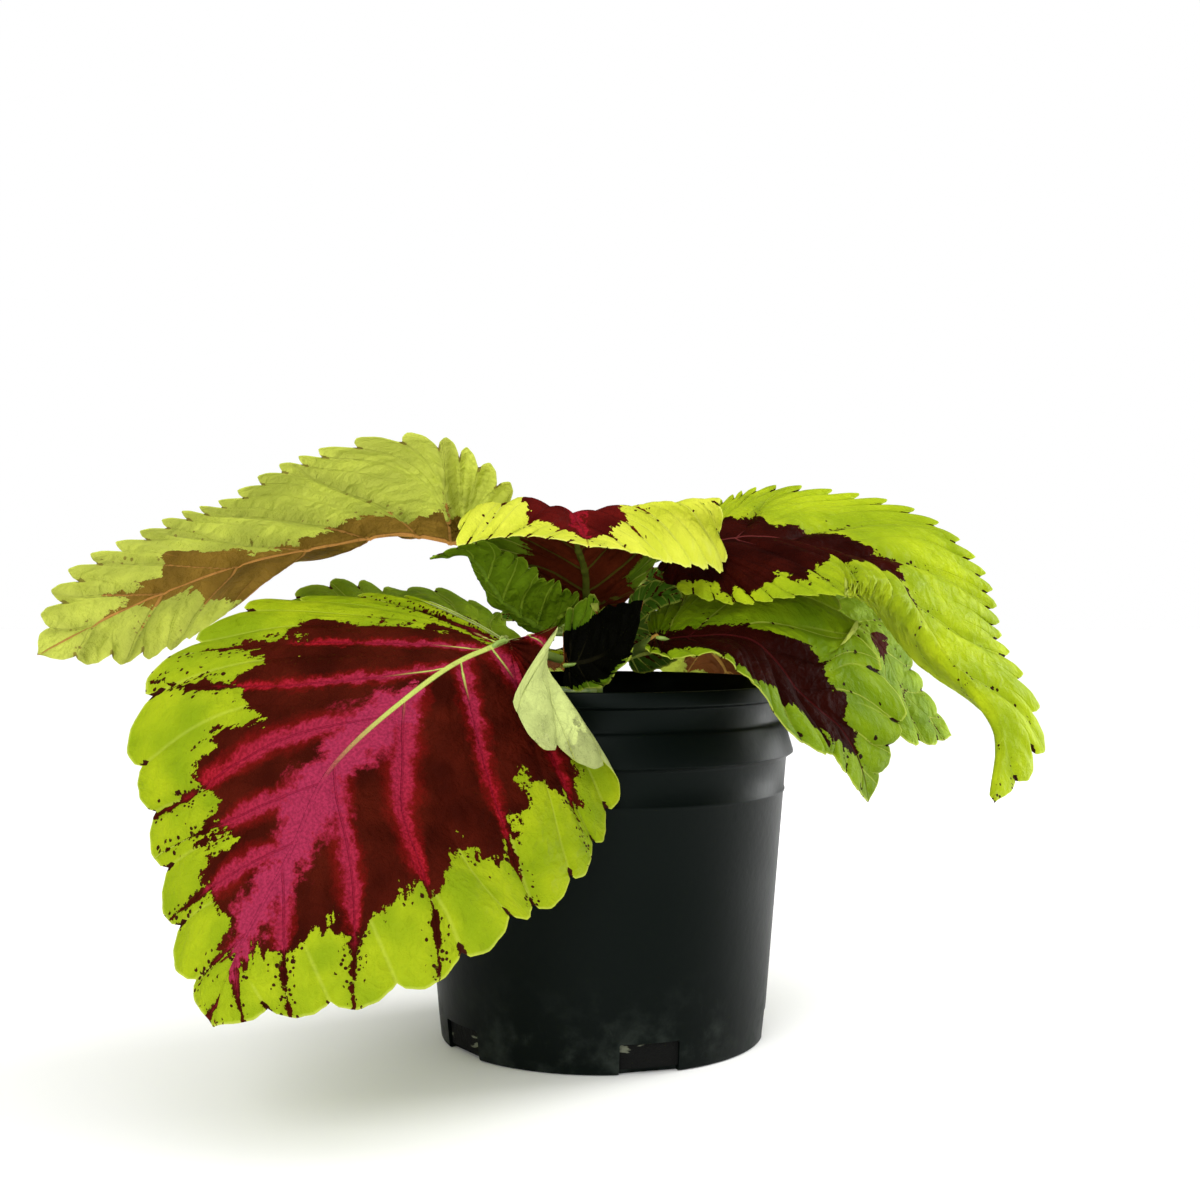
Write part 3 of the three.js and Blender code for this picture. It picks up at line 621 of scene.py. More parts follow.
COLOURS = {
    "leaf_front_left": LeafColours(
        (
            ((5, 50), (15, 68), (20, 72), (30, 62), (40, 60), (55, 62), (65, 66), (75, 64), (90, 63),
             (100, 54), (110, 50), (118, 45), (125, 38), (135, 33), (140, 28), (145, 20), (155, 10),
             (162, 4), (167, -2), (171, -12)),
            ((5, 5), (10, 30), (18, 38), (22, 50), (30, 52), (36, 62), (45, 60), (52, 60), (58, 66), (65, 66),
             (75, 60), (80, 46), (85, 42), (90, 54), (97, 50), (105, 52), (110, 42), (115, 35), (125, 32),
             (130, 38), (137, 35), (140, 28), (145, 20), (150, 12), (160, 4), (165, -2), (169, -12)),
        ),
        (
            (
                Lateral(-0.044, -0.3, 0, 2, 20, 40), Lateral(0.033, 0, 0.0035, 4, 76, 84),
                Lateral(0.104, 0.62, 0, 3.5, 74, 84), Lateral(0.247, 1.05, 0.003, 6, 52, 70),
                Lateral(0.44, 1.3, 0.005, 5, 38, 50), Lateral(0.67, 1.6, 0, 4, 19, 30),
                Lateral(0.85, 1.8, 0, 2, 8, 14),
            ),
            (
                Lateral(-0.04, -0.3, 0, 2, 8, 30), Lateral(0.011, 0.05, 0, 2, 24, 66),
                Lateral(0.044, 0.75, 0, 2.5, 60, 84), Lateral(0.137, 1.3, -0.0075, 3, 66, 88),
                Lateral(0.3, 1.15, 0, 5, 60, 76), Lateral(0.484, 0.9, 0, 5, 36, 48),
                Lateral(0.61, 1.1, 0, 5, 28, 40), Lateral(0.8, 1.5, 0, 2, 10, 18),
            ),
        ),
        ((34, 0), (40, 3), (52, 10), (65, 14), (75, 10), (85, 8), (95, 14), (105, 11), (115, 8), (125, 8),
         (140, 9), (150, 6), (165, 3), (176, 0)),
        tongue=0.016, streak=0.05, jag=0.014, speckle=1.0, lime=srgb(168, 183, 20),
        shade=srgb(134, 158, 13), under=srgb(206, 216, 138),
        under_centre=srgb(196, 208, 126), under_rib=srgb(188, 200, 116),
    ),
    "leaf_upper_left": LeafColours(
        (
            ((0, 15), (10, 18), (20, 12), (30, 13), (40, 18), (50, 15), (60, 10), (70, 8), (80, 5),
             (90, 8), (100, 15), (110, 22), (118, 28), (125, 26), (130, 12), (140, 12), (150, 8),
             (160, 2), (166, -12)),
            ((0, 30), (40, 45), (100, 45), (115, 40), (120, 12), (130, 8), (150, 1), (160, -12)),
        ),
        # The underside colour is partly its own pale lime and partly painted light shining through the leaf.
        relief=2.2, tongue=0.006, streak=0.008, jag=0.007, speckle=0.35, under=srgb(240, 247, 112),
        under_centre=srgb(160, 124, 50), under_rib=srgb(206, 146, 78), rib_end=1.0,
    ),
    "leaf_upper_right": LeafColours(
        (
            ((0, 18), (12, 25), (20, 38), (25, 25), (30, 28), (37, 32), (40, 15), (50, 20), (60, 18),
             (70, 22), (78, 15), (84, 12), (90, 15), (96, 9), (104, 3), (110, -1), (116, -12)),
            ((0, 44), (10, 50), (20, 57), (32, 58), (38, 56), (44, 44), (50, 42), (56, 28), (62, 32),
             (75, 30), (84, 24), (90, 10), (96, 1), (104, -14)),
        ),
        tongue=0.008, streak=0.009, speckle=0.55, relief=1.5, pale=srgb(190, 208, 60),
        centre=srgb(60, 14, 7), rib=srgb(104, 44, 42), rib_end=0.55,
    ),
    "leaf_front_crest": LeafColours(
        (
            ((0, 22), (30, 24), (42, 20), (50, 24), (60, 22), (70, 20), (80, 12), (86, 0), (90, -14)),
            ((0, 22), (30, 26), (42, 22), (60, 24), (75, 20), (84, 4), (89, -14)),
        ),
        core=((44, 0), (60, 3), (78, 3), (88, 0)), tongue=0.004, streak=0.008, speckle=0.3,
        pink=srgb(146, 22, 36), centre=srgb(100, 20, 16), lime=srgb(242, 244, 82),
        pale=srgb(246, 248, 132), shade=srgb(218, 226, 60), under=srgb(96, 128, 24),
        under_centre=srgb(98, 38, 18), under_rib=srgb(84, 92, 28), rib=srgb(130, 26, 36), rib_end=1.0,
    ),
    "leaf_front_right": LeafColours(
        (
            ((0, 8), (40, 10), (50, 18), (57, 24), (65, 22), (70, 20), (80, 15), (85, 18), (88, 5),
             (95, 6), (100, 3), (106, -2), (110, -12)),
            ((0, 26), (30, 38), (50, 38), (58, 28), (65, 20), (72, 18), (75, 20), (80, 13), (88, 15),
             (95, 8), (103, 2), (108, -12)),
        ),
        tongue=0.003, streak=0.006, jag=0.006, speckle=0.25, dark=0.6, centre=srgb(50, 12, 6),
        lime=srgb(130, 156, 12), shade=srgb(97, 126, 8), rib=srgb(58, 14, 14), rib_end=1.0,
    ),
    "leaf_low_left": LeafColours(
        (((0, -6), (170, -6)), ((0, -6), (22, -4), (27, 12), (40, 15), (56, 13), (62, -4), (170, -6))),
        tongue=0.003, streak=0.004, speckle=0.2, lime=srgb(146, 172, 34), shade=srgb(104, 134, 18),
    ),
    "leaf_back_right": LeafColours(
        (
            ((0, -4), (14, -3), (18, 5), (32, 5), (36, -4), (55, -4), (58, 9), (67, 8), (70, -5)),
            ((0, -4), (14, -3), (18, 5), (32, 5), (36, -4), (55, -4), (58, 5), (67, 4), (70, -5)),
        ),
        tongue=0.003, streak=0.005, speckle=0.3, lime=srgb(146, 172, 28), shade=srgb(104, 134, 16),
    ),
    "leaf_back_top": LeafColours((BROAD, BROAD), core=((30, 0), (50, 5), (90, 5), (110, 0)), tongue=0.01),
    "leaf_back_low_right": BACK,
    "leaf_back_low_left": BACK,
    # This inner leaf's greens are partly its own and partly painted shade of the middle of the plant.
    "leaf_inner_left": LeafColours(
        BLANK, speckle=0.1, lime=srgb(132, 164, 24), shade=srgb(86, 122, 10), pale=srgb(158, 184, 52),
        under=srgb(118, 150, 22), under_centre=srgb(92, 120, 24), under_rib=srgb(112, 142, 34),
    ),
    # Painted shade: this inner leaf's dark maroon centre and midrib are painted down to near black, as the
    # deep shade in the middle of the plant; its margin stays green.
    "leaf_inner_front": LeafColours(
        (((0, 14), (20, 20), (40, 18), (52, 12), (60, 2)), ((0, 10), (30, 10), (52, 8), (60, 2))), tongue=0.0,
        streak=0.002, jag=0.003, dark=0.9, centre=srgb(14, 14, 8), lime=srgb(120, 154, 24),
        shade=srgb(74, 108, 12), speckle=0.0, rib=srgb(24, 22, 12),
    ),
    "leaf_small_right": SMALL,
    "leaf_small_left": SMALL,
}


def deselect() -> None:
    """Leaves nothing selected."""
    bpy.ops.object.select_all(action="DESELECT")


def pick(piece: bpy.types.Object) -> None:
    """Makes one object the only selected and the active one.

    Args:
        piece: The object.
    """
    deselect()
    piece.select_set(True)
    bpy.context.view_layer.objects.active = piece


def add_grid(name: str, across: int, along: int) -> tuple[bpy.types.Object, np.ndarray]:
    """Adds a flat grid to be shaped by a formula.

    Args:
        name: Name of the piece.
        across: Faces across it.
        along: Faces along it.

    Returns:
        The object and, for each vertex, its share across and along, from 0 to 1.
    """
    deselect()
    bpy.ops.mesh.primitive_grid_add(x_subdivisions=across, y_subdivisions=along, size=2.0)
    piece = bpy.context.active_object
    piece.name = name
    piece.data.name = name
    flat = np.empty(len(piece.data.vertices) * 3)
    piece.data.vertices.foreach_get("co", flat)
    return piece, (flat.reshape(-1, 3)[:, :2] + 1) / 2


def put_places(piece: bpy.types.Object, places: np.ndarray) -> None:
    """Moves the vertices to places in millimetres."""
    piece.data.vertices.foreach_set("co", (places * MM).ravel())
    piece.data.update()


def merge_doubles(piece: bpy.types.Object, outward: bool = False) -> None:
    """Joins vertices that lie on each other, and if asked turns the faces outward.

    Args:
        piece: The object.
        outward: Whether the faces are turned outward.
    """
    pick(piece)
    bpy.ops.object.mode_set(mode="EDIT")
    bpy.ops.mesh.select_all(action="SELECT")
    bpy.ops.mesh.remove_doubles(threshold=MERGE)
    if outward:
        bpy.ops.mesh.normals_make_consistent(inside=False)
    bpy.ops.object.mode_set(mode="OBJECT")


def put_map(piece: bpy.types.Object, name: str, pairs: np.ndarray) -> None:
    """Adds a UV map from one pair of numbers for each vertex.

    Args:
        piece: The object.
        name: Name of the map.
        pairs: Two numbers for each vertex.
    """
    layer = piece.data.uv_layers.new(name=name)
    corner = np.empty(len(piece.data.loops), int)
    piece.data.loops.foreach_get("vertex_index", corner)
    layer.data.foreach_set("uv", pairs[corner].astype(np.float32).ravel())


def put_values(piece: bpy.types.Object, name: str, values: np.ndarray) -> None:
    """Adds a number for each vertex."""
    layer = piece.data.attributes.new(name, "FLOAT", "POINT")
    layer.data.foreach_set("value", values.astype(np.float32))


def put_part(piece: bpy.types.Object, numbers: np.ndarray) -> None:
    """Notes on each face which of the piece's materials it is to take."""
    layer = piece.data.attributes.new("part", "INT", "FACE")
    layer.data.foreach_set("value", numbers.astype(np.int32))


def put_weights(piece: bpy.types.Object, name: str, weights: np.ndarray) -> None:
    """Adds a vertex group with a weight for each vertex, in hundredths.

    Args:
        piece: The object.
        name: Name of the group.
        weights: A number from 0 to 1 for each vertex.
    """
    group = piece.vertex_groups.new(name=name)
    steps = np.clip(np.round(weights, 2), 0.01, 1)
    for value in np.unique(steps):
        group.add(np.nonzero(steps == value)[0].tolist(), float(value), "REPLACE")


def apply_modifier(piece: bpy.types.Object, kind: str, **settings: object) -> None:
    """Adds a modifier with its settings and applies it.

    Args:
        piece: The object.
        kind: Kind of modifier.
        settings: Its settings by name.
    """
    modifier = piece.modifiers.new(kind.lower(), kind)
    for key, value in settings.items():
        setattr(modifier, key, value)
    pick(piece)
    bpy.ops.object.modifier_apply(modifier=modifier.name)


def shade_smooth(piece: bpy.types.Object, degrees: float = 50) -> None:
    """Smooth shading, with edges sharper than the angle kept."""
    pick(piece)
    bpy.ops.object.shade_smooth_by_angle(angle=math.radians(degrees))


def join(first: bpy.types.Object, other: bpy.types.Object) -> bpy.types.Object:
    """Joins the other into the first object.

    Args:
        first: Object that is kept.
        other: Object that becomes a part of it.

    Returns:
        The first object.
    """
    pick(first)
    other.select_set(True)
    bpy.ops.object.join()
    return first


def finish_piece(piece: bpy.types.Object, slot: str, *nodes: str) -> None:
    """Puts the piece on the body, hides the nodes that it stands for and reports its triangles.

    Args:
        piece: The object.
        slot: Name of its slot; not used.
        nodes: Nodes that it stands for.
    """
    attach(piece, "root")
    if nodes:
        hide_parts(*nodes)
    count = sum(len(face.vertices) - 2 for face in piece.data.polygons)
    LOG.info("%s: %d triangles", piece.name, count)


class Num:
    """A number in a shader tree, for sums with plain signs."""

    def __init__(self, graph: "Graph", socket: bpy.types.NodeSocket) -> None:
        """Keeps the output that carries the number."""
        self.graph = graph
        self.socket = socket

    def __add__(self, other: object) -> "Num":
        """Sum."""
        return self.graph.math("ADD", self, other)

    def __sub__(self, other: object) -> "Num":
        """Difference."""
        return self.graph.math("SUBTRACT", self, other)

    def __rsub__(self, other: float) -> "Num":
        """Difference from a plain number."""
        return self.graph.math("SUBTRACT", other, self)

    def __mul__(self, other: object) -> "Num":
        """Product."""
        return self.graph.math("MULTIPLY", self, other)

    def __truediv__(self, other: object) -> "Num":
        """Quotient."""
        return self.graph.math("DIVIDE", self, other)

    def __abs__(self) -> "Num":
        """Size without the sign."""
        return self.graph.math("ABSOLUTE", self)

    def __lt__(self, other: object) -> "Num":
        """1 where it is less than the other, or else 0."""
        return self.graph.math("LESS_THAN", self, other)

    def __gt__(self, other: object) -> "Num":
        """1 where it is more than the other, or else 0."""
        return self.graph.math("GREATER_THAN", self, other)

    def most(self, other: object) -> "Num":
        """The larger of the two."""
        return self.graph.math("MAXIMUM", self, other)

    def least(self, other: object) -> "Num":
        """The smaller of the two."""
        return self.graph.math("MINIMUM", self, other)

    def fold(self, half: float) -> "Num":
        """Up to the half and back down again, over and over."""
        return self.graph.math("PINGPONG", self, half)


class Graph:
    """Short calls that add the nodes of one shader tree."""

    def __init__(self, tree: bpy.types.NodeTree) -> None:
        """Keeps the tree."""
        self.tree = tree

    def node(self, kind: str, **settings: object) -> bpy.types.Node:
        """Adds a node with its settings.

        Args:
            kind: Kind of node, without its prefix.
            settings: Its settings by name.

        Returns:
            The node.
        """
        made = self.tree.nodes.new(f"ShaderNode{kind}")
        for key, value in settings.items():
            setattr(made, key, value)
        return made

    def put(self, socket: bpy.types.NodeSocket, value: object) -> None:
        """Links an output to the socket, or sets the socket's own value.

        Args:
            socket: Input of a node.
            value: An output, or a value of the socket's kind.
        """
        if isinstance(value, Num):
            value = value.socket
        if isinstance(value, bpy.types.NodeSocket):
            self.tree.links.new(value, socket)
        else:
            socket.default_value = value

    def fill(self, made: bpy.types.Node, **values: object) -> bpy.types.Node:
        """Puts a value in each named input, with spaces for the underscores in its name.

        Args:
            made: The node.
            values: Outputs or plain values.

        Returns:
            The same node.
        """
        for name, value in values.items():
            self.put(made.inputs[name.replace("_", " ")], value)
        return made

    def math(self, operation: str, *values: object) -> Num:
        """One operation on one or two numbers.

        Args:
            operation: Name of the operation.
            values: The numbers.

        Returns:
            The result.
        """
        made = self.node("Math", operation=operation)
        for socket, value in zip(made.inputs, values):
            self.put(socket, value)
        return Num(self, made.outputs[0])

    def smooth(self, value: object, low: object, high: object) -> Num:
        """Smooth step from 0 at low to 1 at high.

        Args:
            value: The number.
            low: Where the step starts.
            high: Where it ends.

        Returns:
            The step's height.
        """
        made = self.node("MapRange", interpolation_type="SMOOTHSTEP")
        self.fill(made, Value=value, From_Min=low, From_Max=high)
        return Num(self, made.outputs["Result"])

    def mix(self, share: object, first: object, second: object) -> bpy.types.NodeSocket:
        """A colour between two others.

        Args:
            share: 0 for the first colour and 1 for the second.
            first: The first colour.
            second: The second colour.

        Returns:
            The colour.
        """
        made = self.node("Mix", data_type="RGBA")
        for index, value in ((0, share), (6, first), (7, second)):
            self.put(made.inputs[index], value)
        return made.outputs[2]

    def noise(self, where: object, scale: float, detail: float = 2, roughness: float = 0.5) -> Num:
        """Cloudy noise around a half.

        Args:
            where: The place.
            scale: Clouds to the metre.
            detail: How many finer layers there are.
            roughness: How strong they are.

        Returns:
            The noise.
        """
        made = self.node("TexNoise")
        self.fill(made, Vector=where, Scale=scale, Detail=detail, Roughness=roughness)
        return Num(self, made.outputs["Fac"])

    def bell(self, value: Num, width: float) -> Num:
        """1 where the value is 0, falling off smoothly within the width."""
        away = value / width
        return self.math("EXPONENT", away * away * -1.0)

    def cells(self, where: object, scale: float, feature: str = "F1") -> bpy.types.Node:
        """Pattern of cells."""
        return self.fill(self.node("TexVoronoi", feature=feature), Vector=where, Scale=scale)

    def value(self, name: str) -> Num:
        """The piece's own number of that name."""
        return Num(self, self.node("Attribute", attribute_name=name).outputs["Fac"])

    def places(self) -> bpy.types.NodeSocket:
        """Place on the piece, in metres."""
        return self.node("TexCoord").outputs["Object"]

    def part(self, vector: object, index: int) -> Num:
        """One number of a place or a pair.

        Args:
            vector: The place or pair.
            index: 0, 1 or 2 for x, y or z.

        Returns:
            The number.
        """
        made = self.node("SeparateXYZ")
        self.put(made.inputs[0], vector)
        return Num(self, made.outputs[index])

    def stretch(self, where: object, scale: Point, shift: object = (0.0, 0.0, 0.0)) -> bpy.types.NodeSocket:
        """The place stretched along each direction and then shifted.

        Args:
            where: The place.
            scale: Factor along each direction.
            shift: What is added after that.

        Returns:
            The new place.
        """
        made = self.node("VectorMath", operation="MULTIPLY_ADD")
        for socket, value in zip(made.inputs, (where, scale, shift)):
            self.put(socket, value)
        return made.outputs[0]

    def bump(self, height: object, distance: float, strength: float = 1.0) -> bpy.types.NodeSocket:
        """Directions of a surface with that relief."""
        made = self.fill(self.node("Bump"), Strength=strength, Distance=distance, Height=height)
        return made.outputs[0]


def new_material(name: str) -> tuple[bpy.types.Material, Graph, bpy.types.Node]:
    """A new material, its graph and its shader.

    Args:
        name: Name of the material.

    Returns:
        The material, its graph and its shader.
    """
    material = bpy.data.materials.new(name)
    material.use_nodes = True
    return material, Graph(material.node_tree), material.node_tree.nodes["Principled BSDF"]


class LeafMarks:
    """Shared masks of the leaf pattern and its painted shade, from the blade's own maps and values.

    Scales are cells to the metre, and lengths are in metres. Each sort of dots has its scale, the size
    of a dot as a share of a cell and the largest share of the cells that have one.
    """

    settings = ("Tongue", "Streak", "Jag", "Speckle", "Teeth")
    results = (
        "Centre", "Crease", "Band", "Glow", "Core", "Specks", "Rib", "Vein", "Net", "Height", "Clouds",
        "Edge", "Grain", "Depth",
    )
    dot_sorts = ((560, 0.36, 0.5), (300, 0.3, 0.22))

    def __init__(self) -> None:
        """Opens the group and reads the blade's maps and values."""
        self.tree = bpy.data.node_groups.new("coleus_marks", "ShaderNodeTree")
        for direction, names in (("INPUT", self.settings), ("OUTPUT", self.results)):
            for name in names:
                self.tree.interface.new_socket(name=name, in_out=direction, socket_type="NodeSocketFloat")
        g = self.g = Graph(self.tree)
        given = self.tree.nodes.new("NodeGroupInput").outputs
        self.tongue, self.streak, self.jag, self.speckle, self.teeth = (
            Num(g, given[name]) for name in self.settings
        )
        self.flat = g.node("UVMap", uv_map="flat").outputs[0]
        veins = g.node("UVMap", uv_map="veins").outputs[0]
        self.out = abs(g.part(veins, 1) * 2.0 - 1.0)
        self.tooth = (g.part(veins, 0) * self.teeth).fold(0.5)
        self.spread, self.inset, self.share = (g.value(name) for name in ("spread", "inset", "share"))
        self.clouds = g.noise(self.flat, 42, 2)
        self.fine = g.noise(self.flat, 420, 3, 0.7) - 0.5
        self.order = g.value("phase") + (self.clouds - 0.5) * 0.07
        self.beside = self.order.fold(0.5)
        self.away = self.beside * g.value("lane")

    def border(self) -> tuple[Num, Num]:
        """How far inside the ragged dark centre, and inside the dark lines along the side veins.

        Returns:
            Both distances, in metres.
        """
        g = self.g
        rough = g.noise(self.flat, 95, 6, 0.7) - 0.5
        fingers = g.node("CombineXYZ")
        g.fill(fingers, X=self.order * 5.0, Y=self.spread * 55.0)
        finger = g.noise(fingers.outputs[0], 1.0, 3, 0.6) - 0.5
        edge = g.value("edge")
        tongue = g.smooth(self.beside * 2.0, 0.3, 0.9) * self.tongue
        field = edge - tongue * g.noise(self.flat, 30, 1)
        field = field + (finger * 2.2 + rough * 3.0 + self.fine * 0.5) * self.jag
        left = g.value("streak").least(edge + self.streak) * 0.12
        line = left.least(g.noise(self.flat, 120, 2) * 0.0034) - self.away
        line = line + rough * 0.009 + self.fine * 0.002
        return field.most(line), line

    def specks(self, field: Num, line: Num, centre: Num) -> Num:
        """Dark dots outside the centre and dark notches between the teeth.

        Args:
            field: How far inside the dark centre.
            line: How far inside the dark lines.
            centre: Mask of the dark centre.

        Returns:
            Mask of the dots and notches.
        """
        g = self.g
        near = g.smooth(field, -0.006, 0.0005) + g.smooth(line, -0.004, 0.0) * 0.5
        dots = 0.0
        for scale, size, often in self.dot_sorts:
            cells = g.cells(self.flat, scale).outputs
            chosen = g.part(cells["Color"], 0) < near * self.speckle * often
            dots = (chosen * (Num(g, cells["Distance"]) + self.fine * 0.5 < size)).most(dots)
        notch = (self.tooth + self.fine * 0.14 < 0.05) * (self.inset < self.clouds * 0.0065)
        notch = notch * (g.noise(self.flat, 25, 0) > 0.45)
        return (dots * (1.0 - centre)).most(notch)

    def pinks(self) -> dict[str, Num]:
        """Pink along the side veins and round the midrib.

        Returns:
            The masks by name.
        """
        g = self.g
        pink, core = g.value("pink"), g.value("core")
        feather = g.noise(self.flat, 150, 6, 0.72) - 0.5
        girth = pink * (g.noise(self.flat, 75, 2) * 1.5 + 0.2)
        ragged, broad = self.away + feather * 0.014, self.spread + feather * 0.03
        any_pink, any_core = (g.smooth(width, 0.0002, 0.001) for width in (pink, core))
        return {
            "Band": (1.0 - g.smooth(ragged, girth * 0.35, girth * 1.05)) * any_pink,
            "Glow": (1.0 - g.smooth(ragged, girth * 0.5, girth * 2.1)) * any_pink,
            "Core": (1.0 - g.smooth(broad, core * 0.5, core * 1.2)) * any_core,
        }

    def veins(self) -> dict[str, Num]:
        """Midrib, side veins, net and the relief that they give.

        Returns:
            The masks and the relief by name.
        """
        g = self.g
        rib_width = self.share * -0.001 + 0.0014
        rib = 1.0 - g.smooth(self.spread, rib_width * 0.6, rib_width)
        vein_width = self.out * -0.00035 + 0.0006
        vein = 1.0 - g.smooth(self.away, vein_width * 0.4, vein_width)
        second = (1.0 - g.smooth(self.tooth, 0.0, 0.05)) * 0.6
        vein = vein.most(second * g.smooth(self.out, 0.45, 0.7))
        drift = g.fill(g.node("TexNoise"), Vector=self.flat, Scale=140)
        warped = g.stretch(drift.outputs["Color"], (0.006, 0.006, 0.0), self.flat)
        nets = (g.cells(warped, scale, "DISTANCE_TO_EDGE") for scale in (130, 420))
        large, small = (Num(g, cells.outputs["Distance"]) for cells in nets)
        net = (1.0 - g.smooth(large, 0.0, 0.07)).most((1.0 - g.smooth(small, 0.0, 0.16)) * 0.35)
        dome = g.smooth(large, 0.0, 0.5) + g.noise(self.flat, 170, 4, 0.65) * 2.4
        return {"Rib": rib, "Vein": vein, "Net": net, "Height": dome - vein.most(rib) * 0.6}

    def build(self) -> bpy.types.NodeTree:
        """Fills the group with the dark centre, pink, specks, veins, relief and painted shade by the veins.

        Returns:
            The group.
        """
        g = self.g
        field, line = self.border()
        centre = g.smooth(field, -0.0001, 0.00016)
        masks = {
            "Centre": centre, "Depth": g.smooth(field, 0.0, 0.0045),
            "Specks": self.specks(field, line, centre),
            # Crease is painted shade: a dark bell beside each side vein, where the quilting dips.
            "Crease": g.bell(self.away, 0.003), "Edge": 1.0 - g.smooth(self.inset, 0.0, 0.0012),
            "Clouds": self.clouds, "Grain": g.noise(self.flat, 900, 1), **self.pinks(), **self.veins(),
        }
        made = self.tree.nodes.new("NodeGroupOutput").inputs
        for name, mask in masks.items():
            g.put(made[name], mask)
        return self.tree


@dataclass(frozen=True)
class LeafFinish:
    """Materials of one leaf."""

    form: LeafForm
    colours: LeafColours
    marks: bpy.types.NodeTree
    glow: float = 0.38
    crimson: tuple[Colour, Colour] = (srgb(120, 14, 20), srgb(148, 24, 36))
    ember: Colour = srgb(124, 14, 16)
    wine: Colour = srgb(112, 14, 36)

    def start(self, name: str) -> tuple[bpy.types.Material, Graph, dict[str, Num], bpy.types.Node]:
        """A new material with its graph, the masks of the pattern and its shader.

        Args:
            name: Name of the material.

        Returns:
            The material, its graph, the masks by name and the shader.
        """
        material, g, shader = new_material(name)
        look = self.colours
        marks = g.node("Group", node_tree=self.marks)
        g.fill(
            marks, Tongue=look.tongue, Streak=look.streak, Jag=look.jag, Speckle=look.speckle,
            Teeth=self.form.margin_teeth,
        )
        mark = {key: Num(g, marks.outputs[key]) for key in LeafMarks.results}
        g.put(shader.inputs["Specular IOR Level"], mark["Centre"] * -0.04 + 0.05)
        return material, g, mark, shader

    def finish(self, g: Graph, colour: object, centre: Num, shader: bpy.types.Node, normal: object) -> None:
        """Lets some of the light through both sides of the blade, as in a real leaf.

        Args:
            g: Graph of the material.
            colour: Colour of the side.
            centre: Mask of the dark centre, which lets less light through.
            shader: Shader of the surface.
            normal: Directions of the surface with its relief.
        """
        tint = g.fill(g.node("Gamma"), Color=colour, Gamma=0.5)
        through = g.fill(g.node("BsdfTranslucent"), Color=tint.outputs[0], Normal=normal)
        g.fill(shader, Base_Color=colour, Normal=normal)
        both = g.node("MixShader")
        for socket, value in zip(
            both.inputs, (centre * (-0.75 * self.glow) + self.glow, shader.outputs[0], through.outputs[0])
        ):
            g.put(socket, value)
        g.put(g.tree.nodes["Material Output"].inputs["Surface"], both.outputs[0])

    def dark_centre(self, g: Graph, mark: dict[str, Num]) -> bpy.types.NodeSocket:
        """Colour of the dark centre with its pink bands.

        Args:
            g: Graph of the material.
            mark: The masks by name.

        Returns:
            The colour.
        """
        look = self.colours
        deep = dimmed(look.centre, 0.4)
        grain = g.smooth(mark["Grain"], 0.35, 0.65)
        dark = g.mix(g.smooth(mark["Clouds"], 0.35, 0.68), look.centre, deep)
        dark = g.mix(look.dark, dark, deep)
        # Painted shade: the vein net darkens the dark centre, as shade of the quilting.
        dark = g.mix(mark["Net"] * 0.35, dark, deep)
        near_rib = 1.0 - g.smooth(g.value("spread"), 0.012, 0.05)
        strength = mark["Band"].most(mark["Core"]) * mark["Depth"]
        dark = g.mix(mark["Glow"].most(mark["Core"]) * mark["Depth"] * 0.55, dark, self.ember)
        dark = g.mix(strength, dark, g.mix(grain, *self.crimson))
        hot = strength * mark["Core"].most(near_rib * 0.65)
        dark = g.mix(hot, dark, g.mix(grain, dimmed(look.pink, 0.72), look.pink))
        return g.mix(mark["Vein"] * strength * 0.4, dark, self.wine)

    def upper(self) -> bpy.types.Material:
        """Upper side: dark centre with pink bands inside a lime border, with painted quilting shade.

        Returns:
            The material.
        """
        material, g, mark, shader = self.start(f"{self.form.node}_upper")
        look = self.colours
        lime = g.mix(g.smooth(mark["Clouds"], 0.3, 0.7), look.shade, look.lime)
        # Painted shade: the vein net and the dips beside the side veins darken the lime toward the shade
        # colour.
        for key, much in (("Net", 0.3), ("Crease", 0.45)):
            lime = g.mix(mark[key] * much, lime, look.shade)
        for key, much in (("Vein", 0.35), ("Edge", 0.5)):
            lime = g.mix(mark[key] * much, lime, look.pale)
        colour = g.mix(mark["Centre"], lime, self.dark_centre(g, mark))
        colour = g.mix(mark["Specks"], colour, dimmed(look.centre, 0.4))
        share, spread = g.value("share"), g.value("spread")
        rib = mark["Rib"] * (1.0 - g.smooth(share, look.rib_end - 0.2, look.rib_end + 0.05))
        fork = (1.0 - g.smooth(spread, 0.004, 0.016)) * mark["Vein"] * (1.0 - g.smooth(share, 0.14, 0.3))
        colour = g.mix(rib.most(fork), colour, look.rib)
        g.put(shader.inputs["Roughness"], mark["Clouds"] * 0.15 + 0.45)
        self.finish(g, colour, mark["Centre"], shader, g.bump(mark["Height"], 0.0012, 0.7))
        return material

    def under(self) -> bpy.types.Material:
        """Under side: paler and flatter in colour, with raised veins and a raised net, and painted shade.

        Returns:
            The material.
        """
        material, g, mark, shader = self.start(f"{self.form.node}_under")
        look = self.colours
        # shade and dim give the random tone and the painted shade along the net; low is painted shade in the
        # dips beside the veins.
        shade, low, dim = dimmed(look.under, 0.72), dimmed(look.under, 0.55), dimmed(look.under_centre, 0.6)
        lime = g.mix(g.smooth(mark["Clouds"], 0.3, 0.7), shade, look.under)
        for key, much, tint in (("Net", 0.35, shade), ("Crease", 0.6, low), ("Vein", 0.6, look.pale)):
            lime = g.mix(mark[key] * much, lime, tint)
        dark = g.mix(g.smooth(mark["Clouds"], 0.35, 0.68), look.under_centre, dim)
